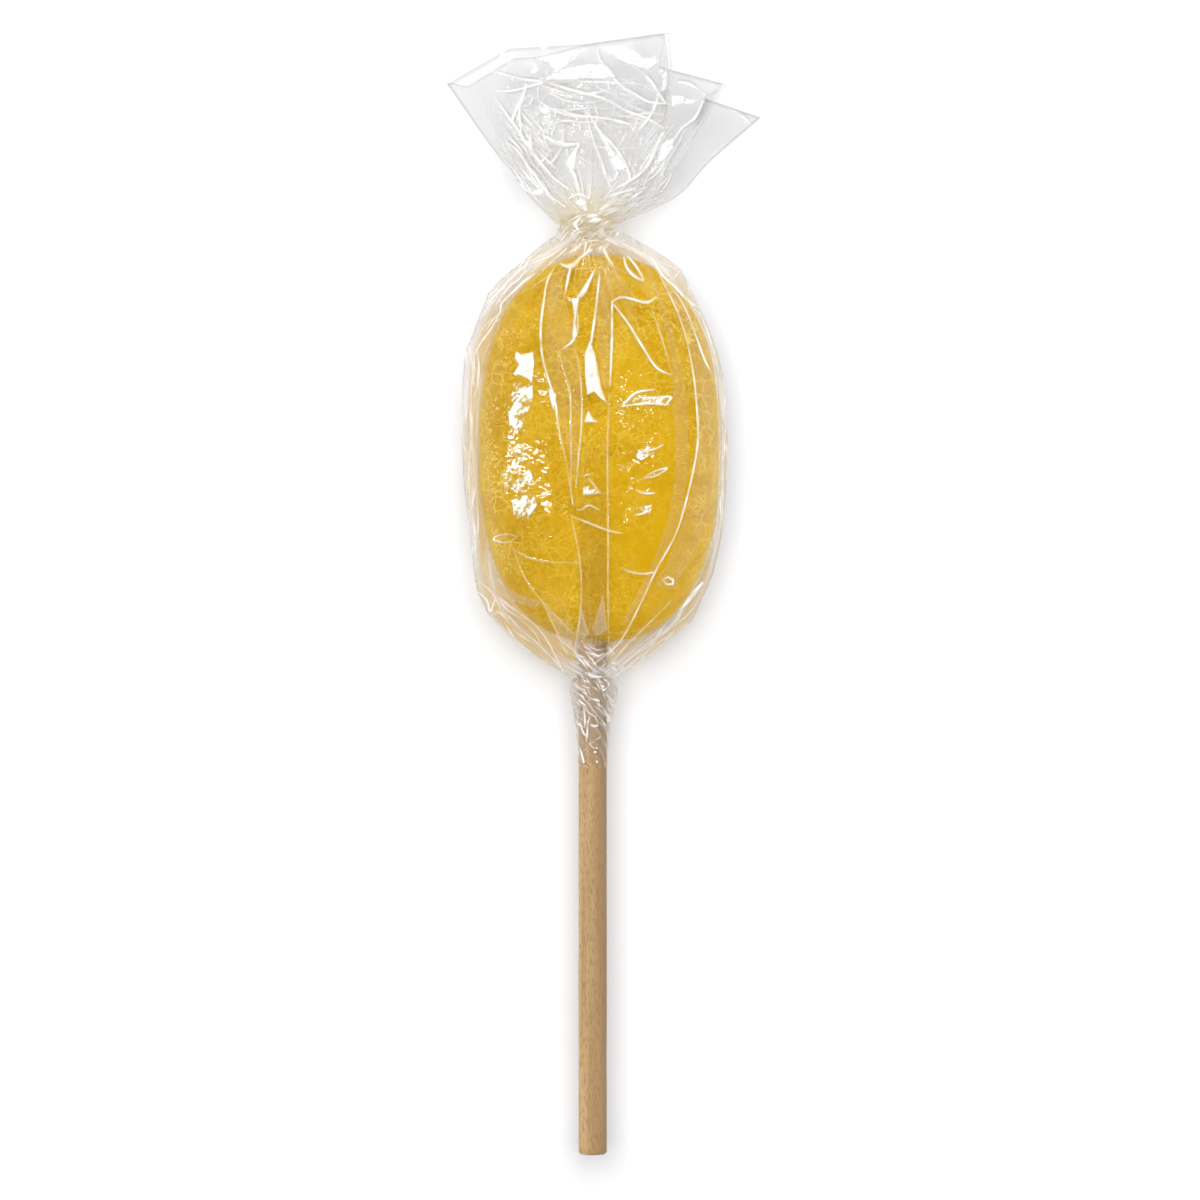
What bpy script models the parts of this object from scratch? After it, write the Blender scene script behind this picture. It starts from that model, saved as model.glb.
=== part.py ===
"""A wrapped lollipop lying on its back: a long oval hard candy on a wooden stick, in a clear film wrapper.

The stick runs along Y, the wrapper's fan points to +Y and the shown side faces +Z.
The origin is the middle of the whole lollipop's footprint, on the surface that it lies on.
"""

import math

import bmesh
import bpy
from mathutils import Vector

MM = 0.001
GAP = 0.3

# Driving dimensions, in millimetres

TOTAL_LENGTH = 157.8
STICK_RADIUS = 2.0
STICK_LENGTH = 100.0
STICK_X = -1.6
STICK_EDGE = 0.35
STICK_SIDES = 24

CANDY_X = -0.6
CANDY_Y = 20.5
CANDY_HALF_WIDTH = 17.1
CANDY_HALF_LENGTH = 27.2
CANDY_HALF_THICKNESS = 7.0
CANDY_POWER = 2.4
CANDY_SIDES = 36
CANDY_RINGS = 22

MID_HEIGHT = 7.3
FILM_WALL = 0.5
SLEEVE_WALL = 0.3
FAN_THICKNESS = 0.6

# Wrapper round the candy and the stick: station along Y, left edge, right edge, half thickness

SLEEVE_STATIONS = [
    (-24.1, -4.2, 1.0, 2.6),
    (-22.6, -4.3, 1.1, 2.7),
    (-21.0, -4.3, 1.1, 2.7),
    (-19.4, -4.4, 1.1, 2.7),
    (-18.0, -4.6, 1.3, 2.8),
    (-16.6, -4.7, 1.5, 2.9),
    (-15.2, -4.8, 1.8, 3.1),
    (-13.9, -4.9, 2.0, 3.2),
    (-12.8, -4.6, 1.8, 3.0),
]
BODY_STATIONS = [
    (-11.8, -4.7, 1.7, 3.0),
    (-10.6, -6.4, 4.0, 3.5),
    (-9.0, -9.2, 6.1, 4.1),
    (-6.0, -12.9, 9.9, 5.1),
    (-3.0, -16.1, 12.9, 6.0),
    (0.5, -18.0, 15.1, 6.8),
    (3.5, -18.6, 15.8, 7.3),
    (6.5, -19.0, 16.2, 7.6),
    (9.5, -19.4, 16.5, 7.8),
    (12.5, -19.7, 16.8, 7.9),
    (16.0, -19.9, 17.0, 7.9),
    (19.3, -20.0, 17.2, 7.9),
    (22.5, -20.1, 17.3, 7.9),
    (25.5, -20.1, 17.3, 7.9),
    (28.0, -20.1, 17.1, 7.8),
    (31.0, -20.0, 16.8, 7.6),
    (34.0, -19.6, 16.1, 7.3),
    (37.0, -18.4, 15.0, 6.9),
    (40.0, -17.3, 13.7, 6.3),
    (43.0, -16.0, 12.2, 5.6),
    (45.6, -13.4, 10.9, 4.8),
    (47.6, -11.0, 8.4, 4.1),
    (49.4, -8.7, 5.4, 3.4),
    (50.4, -6.9, 3.2, 3.0),
]
NECK_STATIONS = [
    (51.3, -6.6, 1.8, 2.7),
    (52.2, -6.5, 1.7, 2.6),
]

# Fan of gathered film above the neck: its fold lines from the neck out to the mouth, each point X, Y
# and height over the middle plane. Panel B steps down behind the front panel and C behind B.

FOLD_LINES = {
    "left edge": [(-6.4, 52.8, 0.0), (-10.8, 56.4, 0.3), (-16.2, 63.4, 0.8), (-22.1, 71.8, 0.6)],
    "left crease": [(-5.2, 53.2, 0.0), (-7.9, 60.4, -0.4), (-10.6, 68.6, -0.8), (-13.4, 76.9, -0.4)],
    "middle crease": [(-2.3, 53.8, 0.0), (-2.1, 61.4, 0.7), (-2.0, 69.4, 1.3), (-2.0, 77.4, 1.6)],
    "front fold": [(-0.1, 53.8, 0.0), (5.4, 59.4, 1.4), (8.8, 69.0, 1.9), (8.6, 78.9, 1.7)],
    "inner fold B": [(0.4, 53.5, 0.0), (6.2, 58.8, 0.0), (9.6, 65.9, -0.1), (9.7, 73.6, 0.0)],
    "outer fold B": [(0.9, 53.2, 0.0), (8.2, 58.6, -0.1), (13.0, 65.2, 0.0), (16.9, 71.8, 0.2)],
    "inner fold C": [(1.3, 53.0, 0.0), (9.0, 57.8, -1.2), (13.8, 64.2, -1.6), (17.6, 70.6, -1.4)],
    "right edge": [(1.7, 52.8, 0.0), (10.1, 56.0, -1.3), (14.9, 61.0, -1.7), (22.1, 67.2, -1.2)],
}
FOLD_COLUMNS = [0, 4, 9, 14, 16, 19, 21, 24]
COLUMNS = FOLD_COLUMNS[-1]
FAN_RINGS = 14
CRUMPLED_PANELS = 3
NECK_BLEND = 0.3

# Pleats of the film: how many round the part, how deep, and how far they turn for each millimetre

SLEEVE_PLEATS = 9
SLEEVE_PLEAT_DEPTH = 0.3
SLEEVE_TWIST = 0.32
NECK_PLEATS = 7
NECK_PLEAT_DEPTH = 0.45
NECK_TWIST = 0.35
BODY_PLEATS = 13
BODY_PLEAT_DEPTH = 0.7
BODY_PLEAT_FADE = 14.0
CRUMPLE_DEPTH = 0.55

# Colour and roughness of each material

CANDY_FINISH = ((0.70, 0.43, 0.03), 0.15)
STICK_FINISH = ((0.50, 0.31, 0.14), 0.6)
FILM_FINISH = ((0.86, 0.86, 0.87), 0.1)

CANDY_BASE = GAP + FILM_WALL
STICK_END = -TOTAL_LENGTH / 2
STICK_TIP = STICK_END + STICK_LENGTH
BORE_RADIUS = STICK_RADIUS + GAP


def clear_scene():
    for old in list(bpy.data.objects):
        bpy.data.objects.remove(old, do_unlink=True)


def make_material(name, finish):
    colour, roughness = finish
    material = bpy.data.materials.new(name)
    material.use_nodes = True
    shader = material.node_tree.nodes["Principled BSDF"]
    shader.inputs["Base Color"].default_value = (*colour, 1.0)
    shader.inputs["Roughness"].default_value = roughness
    shader.inputs["Metallic"].default_value = 0.0
    material.diffuse_color = (*colour, 1.0)
    return material


def object_from_bmesh(name, mesh_builder, finish=None):
    """Store a bmesh built in millimetres as an object in metres."""
    bmesh.ops.scale(mesh_builder, vec=(MM, MM, MM), verts=mesh_builder.verts)
    bmesh.ops.recalc_face_normals(mesh_builder, faces=mesh_builder.faces)
    mesh = bpy.data.meshes.new(name)
    mesh_builder.to_mesh(mesh)
    mesh_builder.free()
    piece = bpy.data.objects.new(name, mesh)
    bpy.context.scene.collection.objects.link(piece)
    if finish:
        mesh.materials.append(make_material(name, finish))
    return piece


def cut(piece, cutter):
    cutter.hide_render = True
    cutter.display_type = 'WIRE'
    boolean = piece.modifiers.new(cutter.name, 'BOOLEAN')
    boolean.operation = 'DIFFERENCE'
    boolean.solver = 'EXACT'
    boolean.object = cutter


def signed_power(value, power):
    return math.copysign(abs(value) ** power, value)


def smooth(value):
    value = min(max(value, 0.0), 1.0)
    return value * value * (3.0 - 2.0 * value)


def zigzag(value):
    """A triangle wave between -1 and 1 with a period of 1."""
    return 4.0 * abs(value - math.floor(value + 0.5)) - 1.0


def add_rod(mesh_builder, outline):
    """A rod along Y round the stick's axis, turned from an outline of places along Y and radii."""
    rings = []
    for along, reach in outline:
        ring = []
        for side in range(STICK_SIDES):
            angle = 2.0 * math.pi * side / STICK_SIDES
            place = (STICK_X + reach * math.cos(angle), along, MID_HEIGHT + reach * math.sin(angle))
            ring.append(mesh_builder.verts.new(place))
        rings.append(ring)
    for low, high in zip(rings, rings[1:]):
        for side in range(STICK_SIDES):
            after = (side + 1) % STICK_SIDES
            mesh_builder.faces.new((low[side], low[after], high[after], high[side]))
    mesh_builder.faces.new(rings[0])
    mesh_builder.faces.new(rings[-1])


def build_stick():
    outline = [
        (STICK_END, STICK_RADIUS - STICK_EDGE),
        (STICK_END + STICK_EDGE, STICK_RADIUS),
        (STICK_TIP - STICK_EDGE, STICK_RADIUS),
        (STICK_TIP, STICK_RADIUS - STICK_EDGE),
    ]
    mesh_builder = bmesh.new()
    add_rod(mesh_builder, outline)
    stick = object_from_bmesh("stick", mesh_builder, STICK_FINISH)
    stick.data.shade_smooth()
    stick.data.set_sharp_from_angle(angle=math.radians(30.0))
    return stick


def make_candy_form(name, margin, finish=None):
    """The candy's rounded oval grown by a margin on every side, with its flat back."""
    half_width = CANDY_HALF_WIDTH + margin
    half_length = CANDY_HALF_LENGTH + margin
    half_thickness = CANDY_HALF_THICKNESS + margin
    base = CANDY_BASE - margin
    spread = 2.0 / CANDY_POWER
    mesh_builder = bmesh.new()
    rings = []
    for ring_index in range(1, CANDY_RINGS):
        rise = math.pi * (ring_index / CANDY_RINGS - 0.5)
        along = CANDY_Y + half_length * signed_power(math.sin(rise), spread)
        share = math.cos(rise) ** spread
        ring = []
        for side in range(CANDY_SIDES):
            angle = 2.0 * math.pi * side / CANDY_SIDES
            across = half_width * share * signed_power(math.cos(angle), spread)
            height = MID_HEIGHT + half_thickness * share * signed_power(math.sin(angle), spread)
            ring.append(mesh_builder.verts.new((CANDY_X + across, along, max(height, base))))
        rings.append(ring)
    low_pole = mesh_builder.verts.new((CANDY_X, CANDY_Y - half_length, MID_HEIGHT))
    high_pole = mesh_builder.verts.new((CANDY_X, CANDY_Y + half_length, MID_HEIGHT))
    for side in range(CANDY_SIDES):
        after = (side + 1) % CANDY_SIDES
        for low, high in zip(rings, rings[1:]):
            mesh_builder.faces.new((low[side], low[after], high[after], high[side]))
        mesh_builder.faces.new((low_pole, rings[0][after], rings[0][side]))
        mesh_builder.faces.new((high_pole, rings[-1][side], rings[-1][after]))
    bmesh.ops.triangulate(mesh_builder, faces=mesh_builder.faces)
    form = object_from_bmesh(name, mesh_builder, finish)
    form.data.shade_smooth()
    return form


def build_candy():
    """The candy, with a blind socket that the stick's upper end stands in."""
    candy = make_candy_form("candy", 0.0, CANDY_FINISH)
    socket_start = CANDY_Y - 2.0 * CANDY_HALF_LENGTH
    mesh_builder = bmesh.new()
    add_rod(mesh_builder, [(socket_start, BORE_RADIUS), (STICK_TIP + GAP, BORE_RADIUS)])
    cut(candy, object_from_bmesh("candy_socket_cutter", mesh_builder))
    return candy


def push_clear_of_candy(place, margin):
    """Move a point of a cross section outward until it is the margin clear of the candy."""
    half_length = CANDY_HALF_LENGTH + margin
    along = abs(place.y - CANDY_Y) / half_length
    if along >= 1.0:
        return place
    across = abs(place.x - CANDY_X) / (CANDY_HALF_WIDTH + margin)
    height = abs(place.z - MID_HEIGHT) / (CANDY_HALF_THICKNESS + margin)
    room = 1.0 - along ** CANDY_POWER
    depth = (across ** CANDY_POWER + height ** CANDY_POWER) / room
    if depth >= 1.0:
        return place
    growth = depth ** (-1.0 / CANDY_POWER)
    grown_x = CANDY_X + (place.x - CANDY_X) * growth
    grown_z = MID_HEIGHT + (place.z - MID_HEIGHT) * growth
    return Vector((grown_x, place.y, grown_z))


def section_point(station, angle, pleat):
    """A point of an oval cross section, moved outward by its pleat."""
    along, left, right, half_thickness = station
    middle = (left + right) / 2.0
    half_width = (right - left) / 2.0
    across = (half_width + pleat) * math.cos(angle)
    height = (half_thickness + pleat) * math.sin(angle)
    return Vector((middle + across, along, MID_HEIGHT + height))


def sleeve_point(station, angle):
    along = station[0]
    turn = SLEEVE_PLEATS * angle / (2.0 * math.pi) + SLEEVE_TWIST * along
    pleat = SLEEVE_PLEAT_DEPTH * (zigzag(turn) + 1.0) / 2.0
    place = section_point(station, angle, pleat)
    centre = Vector((STICK_X, along, MID_HEIGHT))
    least = BORE_RADIUS + SLEEVE_WALL
    offset = place - centre
    if offset.length < least:
        place = centre + offset.normalized() * least
    return place


def body_point(station, angle):
    along = station[0]
    to_neck = min(along - BODY_STATIONS[0][0], BODY_STATIONS[-1][0] - along)
    fade = 1.0 - smooth(to_neck / BODY_PLEAT_FADE)
    pleat = BODY_PLEAT_DEPTH * fade * smooth(to_neck) * zigzag(BODY_PLEATS * angle / (2.0 * math.pi))
    place = push_clear_of_candy(section_point(station, angle, pleat), GAP + FILM_WALL)
    place.z = max(place.z, 0.0)
    return place


def neck_point(station, angle):
    turn = NECK_PLEATS * angle / (2.0 * math.pi) + NECK_TWIST * station[0]
    pleat = NECK_PLEAT_DEPTH * zigzag(turn)
    return section_point(station, angle, pleat)


def on_fold_line(points, share):
    """A place along one fold line, on a smooth curve through its four points."""
    spans = len(points) - 1
    span = min(int(share * spans), spans - 1)
    local = share * spans - span
    before = Vector(points[max(span - 1, 0)])
    start = Vector(points[span])
    end = Vector(points[span + 1])
    after = Vector(points[min(span + 2, spans)])
    start_slope = (end - before) * 0.5
    end_slope = (after - start) * 0.5
    square = local * local
    cube = square * local
    place = start * (2.0 * cube - 3.0 * square + 1.0)
    place += start_slope * (cube - 2.0 * square + local)
    place += end * (3.0 * square - 2.0 * cube)
    place += end_slope * (cube - square)
    return place


def fan_middle(column, share):
    """The middle of the fan's film at one column, a share of the way from the neck to the mouth."""
    lines = list(FOLD_LINES.values())
    column = min(max(column, 0.0), COLUMNS)
    panel = 0
    while panel < len(lines) - 2 and column > FOLD_COLUMNS[panel + 1]:
        panel += 1
    first, last = FOLD_COLUMNS[panel], FOLD_COLUMNS[panel + 1]
    blend = (column - first) / (last - first)
    place = on_fold_line(lines[panel], share).lerp(on_fold_line(lines[panel + 1], share), blend)
    wrinkle = zigzag(0.21 * place.x + 0.06 * place.y) + zigzag(0.05 * place.x - 0.17 * place.y)
    inside = math.sin(math.pi * blend) if panel < CRUMPLED_PANELS else 0.0
    place.z += MID_HEIGHT + 0.5 * CRUMPLE_DEPTH * wrinkle * inside * smooth(2.0 * share)
    return place


def fan_points(column, share):
    """The upper and lower point of the fan's film at one column."""
    step = 0.01
    across = fan_middle(column + 0.5, share) - fan_middle(column - 0.5, share)
    outward = fan_middle(column, min(share + step, 1.0)) - fan_middle(column, max(share - step, 0.0))
    normal = across.cross(outward).normalized()
    normal.y = 0.0
    middle = fan_middle(column, share)
    half = normal.normalized() * FAN_THICKNESS / 2.0
    return middle + half, middle - half


def ring_angles(column):
    """The upper and lower angle round an oval section that belong to one column."""
    half_step = math.pi / (2.0 * (COLUMNS + 1))
    upper = math.pi - half_step - (math.pi - 2.0 * half_step) * column / COLUMNS
    return upper, -upper


def closed_sections():
    """Upper and lower rows of points for every cross section from the sleeve's end to the neck."""
    stations = [(station, sleeve_point) for station in SLEEVE_STATIONS]
    stations += [(station, body_point) for station in BODY_STATIONS]
    stations += [(station, neck_point) for station in NECK_STATIONS]
    sections = []
    for station, point_maker in stations:
        upper = [point_maker(station, ring_angles(column)[0]) for column in range(COLUMNS + 1)]
        lower = [point_maker(station, ring_angles(column)[1]) for column in range(COLUMNS + 1)]
        sections.append((upper, lower))
    return sections


def fan_sections():
    """Upper and lower rows of points for the fan, which opens out of the neck's last section."""
    neck = NECK_STATIONS[-1]
    sections = []
    for ring in range(1, FAN_RINGS + 1):
        share = (ring - 0.5) / (FAN_RINGS - 0.5)
        opening = smooth(share / NECK_BLEND)
        upper = []
        lower = []
        for column in range(COLUMNS + 1):
            rows = zip((upper, lower), fan_points(column, share), ring_angles(column))
            for row, film, angle in rows:
                core = neck_point((fan_middle(column, share).y, *neck[1:]), angle)
                row.append(core.lerp(film, opening))
        sections.append((upper, lower))
    return sections


def add_film_faces(mesh_builder, sections):
    """Skin the sections with triangles that are split alike above and below."""
    grid = []
    for upper, lower in sections:
        grid.append([[mesh_builder.verts.new(place) for place in row] for row in (upper, lower)])

    def add_quad(first, second, third, fourth):
        mesh_builder.faces.new((first, second, third))
        mesh_builder.faces.new((first, third, fourth))

    for here, there in zip(grid, grid[1:]):
        for layer in range(2):
            for column in range(COLUMNS):
                near, far = here[layer], there[layer]
                corners = (near[column], near[column + 1], far[column + 1], far[column])
                add_quad(*corners)
        for column in (0, COLUMNS):
            add_quad(here[0][column], here[1][column], there[1][column], there[0][column])
    upper, lower = grid[-1]
    for column in range(COLUMNS):
        add_quad(upper[column], upper[column + 1], lower[column + 1], lower[column])
    upper, lower = grid[0]
    centre = mesh_builder.verts.new((STICK_X, upper[0].co.y, MID_HEIGHT))
    around = upper + lower[::-1]
    for corner, after in zip(around, around[1:] + around[:1]):
        mesh_builder.faces.new((centre, corner, after))


def build_wrapper():
    """The film's outer form, hollow round the candy and open round the stick."""
    mesh_builder = bmesh.new()
    add_film_faces(mesh_builder, closed_sections() + fan_sections())
    wrapper = object_from_bmesh("wrapper", mesh_builder, FILM_FINISH)
    cut(wrapper, make_candy_form("wrapper_cavity_cutter", GAP))
    bore_start = 2.0 * SLEEVE_STATIONS[0][0]
    bore_builder = bmesh.new()
    add_rod(bore_builder, [(bore_start, BORE_RADIUS), (CANDY_Y, BORE_RADIUS)])
    cut(wrapper, object_from_bmesh("wrapper_bore_cutter", bore_builder))
    return wrapper


def main():
    clear_scene()
    build_stick()
    build_candy()
    build_wrapper()


main()
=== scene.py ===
"""Looks of the wrapped lollipop: creased clear film round a golden hard candy on a wooden stick.

Shapes are worked out in millimetres on the CAD model's axes and stored in metres.
"""

import math
from types import SimpleNamespace

import bpy
import numpy as np
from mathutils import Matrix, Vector


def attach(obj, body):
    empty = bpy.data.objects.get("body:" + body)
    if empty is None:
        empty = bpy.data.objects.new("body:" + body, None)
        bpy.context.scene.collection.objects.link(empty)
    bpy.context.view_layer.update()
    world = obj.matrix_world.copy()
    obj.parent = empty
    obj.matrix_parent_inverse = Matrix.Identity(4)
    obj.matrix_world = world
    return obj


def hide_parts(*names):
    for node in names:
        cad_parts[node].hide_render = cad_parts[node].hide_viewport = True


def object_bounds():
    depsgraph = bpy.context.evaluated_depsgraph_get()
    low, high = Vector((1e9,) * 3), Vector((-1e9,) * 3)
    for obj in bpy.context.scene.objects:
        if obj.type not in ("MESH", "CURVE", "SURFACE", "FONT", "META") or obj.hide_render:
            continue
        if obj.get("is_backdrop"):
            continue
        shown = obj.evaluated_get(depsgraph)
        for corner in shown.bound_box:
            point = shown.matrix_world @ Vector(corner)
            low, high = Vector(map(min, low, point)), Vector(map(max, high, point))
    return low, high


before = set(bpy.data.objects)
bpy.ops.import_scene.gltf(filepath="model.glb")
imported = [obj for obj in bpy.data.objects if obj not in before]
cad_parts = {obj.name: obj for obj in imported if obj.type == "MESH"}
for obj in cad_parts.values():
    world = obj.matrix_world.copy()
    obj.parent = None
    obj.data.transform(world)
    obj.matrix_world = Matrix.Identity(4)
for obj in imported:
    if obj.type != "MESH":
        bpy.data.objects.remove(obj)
CAD_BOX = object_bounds()

MM = 0.001

# The photograph: millimetres for each pixel, and the pixel of the frame's origin

PHOTO_SCALE = 0.1408
PHOTO_ORIGIN = (604.0, 594.2)
PHOTO_SIZE = 1200

# Driving dimensions in millimetres, as in the CAD model

MID_HEIGHT = 7.3
STICK_X = -1.6
STICK_RADIUS = 2.0
STICK_TIP = 21.1
STICK_END = -78.9
CANDY_X, CANDY_Y = -0.6, 20.5
CANDY_BASE = 0.8
CANDY_HALF = (17.1, 27.2, 7.0)
CANDY_POWER = 2.4

# Film round the body: pixels of the outline's corners from top to bottom, and half thickness along Y

LEFT_OUTLINE = [
    (557, 226), (557, 234), (542, 244.5), (524, 260), (504.5, 276), (489, 291), (483.5, 306), (476, 325.5),
    (468.5, 345), (465, 353), (463, 380), (461.5, 435), (464, 488), (467, 512), (471, 544), (474.5, 576),
    (477.5, 592), (488, 614), (494, 620), (512, 638), (532.5, 655.3), (552, 666.5), (571, 679),
]
RIGHT_OUTLINE = [
    (617, 226), (620, 231), (633.5, 238.5), (650, 247.5), (665, 257), (681, 269.5), (686, 279), (697, 303),
    (708.5, 327), (717.5, 352.5), (723, 375), (726, 405), (727.5, 437), (726.8, 472), (724.8, 504),
    (721.6, 536), (717.6, 555), (712, 577), (701.6, 599.5), (693, 619.5), (679, 633), (654, 652),
    (635, 666.5), (616, 679),
]
BODY_THICKNESS = [
    (-11.8, 3.0), (-10.6, 3.5), (-9.0, 4.1), (-6.0, 5.1), (-3.0, 6.0), (0.5, 6.7), (6.5, 7.3), (12.5, 7.4),
    (25.5, 7.4), (30.0, 7.3), (34.0, 7.1), (37.0, 6.8), (40.0, 6.3), (43.0, 5.6), (45.6, 4.8), (47.6, 4.0),
    (49.4, 3.3), (50.4, 2.9), (51.6, 2.6),
]

# Twisted film: station along Y, left edge, right edge, half thickness

SLEEVE_STATIONS = [
    (-24.4, -3.75, 0.6, 2.2),
    (-22.0, -3.8, 0.65, 2.3),
    (-19.2, -4.05, 1.0, 2.5),
    (-16.6, -4.4, 1.4, 2.7),
    (-14.9, -4.7, 1.9, 3.0),
    (-13.2, -4.9, 2.0, 3.1),
    (-12.2, -4.6, 1.5, 3.0),
    (-11.4, -4.2, 1.1, 2.8),
    (-10.4, -3.9, 0.7, 2.6),
]
NECK_STATIONS = [
    (48.6, -5.0, 0.8, 2.5),
    (49.8, -5.9, 1.3, 2.8),
    (51.0, -6.4, 1.7, 2.9),
    (52.2, -6.3, 1.7, 2.8),
    (53.4, -5.9, 1.5, 2.3),
]

# Middle of the neck in millimetres, which is where the fan starts

NECK_MIDDLE = (-2.4, 52.0)

# Fold lines of the fan from the neck to the mouth: X, Y and height over the middle plane

FOLD_LINES = {
    "left edge": [(-6.6, 52.0, 0.0), (-10.8, 56.4, 0.3), (-16.2, 63.4, 0.8), (-22.1, 71.8, 0.6)],
    "left crease": [(-5.2, 52.6, 0.0), (-7.9, 60.4, -0.4), (-10.6, 68.6, -0.8), (-13.4, 76.9, -0.4)],
    "middle crease": [(-2.3, 53.2, 0.0), (-2.1, 61.4, 0.7), (-2.0, 69.4, 1.3), (-2.0, 77.4, 1.6)],
    "front fold": [(-0.1, 53.2, 0.0), (5.8, 59.4, 1.4), (9.2, 69.0, 1.9), (8.8, 78.9, 1.7)],
    "inner fold B": [(0.3, 52.9, 0.0), (5.3, 58.8, 0.0), (8.2, 66.6, -0.1), (8.0, 74.2, 0.0)],
    "outer fold B": [(0.9, 52.6, 0.0), (8.2, 59.2, -0.1), (13.0, 65.4, 0.0), (17.0, 71.8, 0.2)],
    "inner fold C": [(1.3, 52.4, 0.0), (7.6, 57.8, -1.2), (11.8, 63.4, -1.6), (14.2, 69.9, -1.4)],
    "right edge": [(1.8, 52.0, 0.0), (10.1, 56.0, -1.3), (14.9, 61.0, -1.7), (22.1, 67.2, -1.2)],
}
FOLD_SHARES = [0.0, 0.2, 0.42, 0.64, 0.69, 0.83, 0.87, 1.0]
FAN_PANELS = {"A": (0.0, 0.64), "B": (0.69, 0.83), "C": (0.87, 1.0)}

# Softboxes: lean to +X and +Y from overhead and half sizes, all in degrees, and radiance. The film mirrors
# the first three, and the last one only lights. Distances and the camera's sensor are in millimetres.

LEFT_BOX = (-37.0, 2.0, 0.6, 11.0, 42.0)
RIGHT_BOX = (14.0, 4.0, 0.7, 1.4, 30.0)
HEAD_BOX = (-4.0, 52.0, 5.0, 2.0, 16.0)
KEY_BOX = (-2.0, 11.0, 26.0, 26.0, 3.9)
LIGHT_DISTANCE = 1200.0
LIGHT_AIM = (0.0, 20.0, MID_HEIGHT)
CAMERA_DISTANCE = 900.0
SENSOR_WIDTH = 36.0

# Creases of the body's film by name: a strength, which sets how wide and bright its painted highlight line
# is, and the photograph's pixels that it runs through, some with a strength of their own

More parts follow.
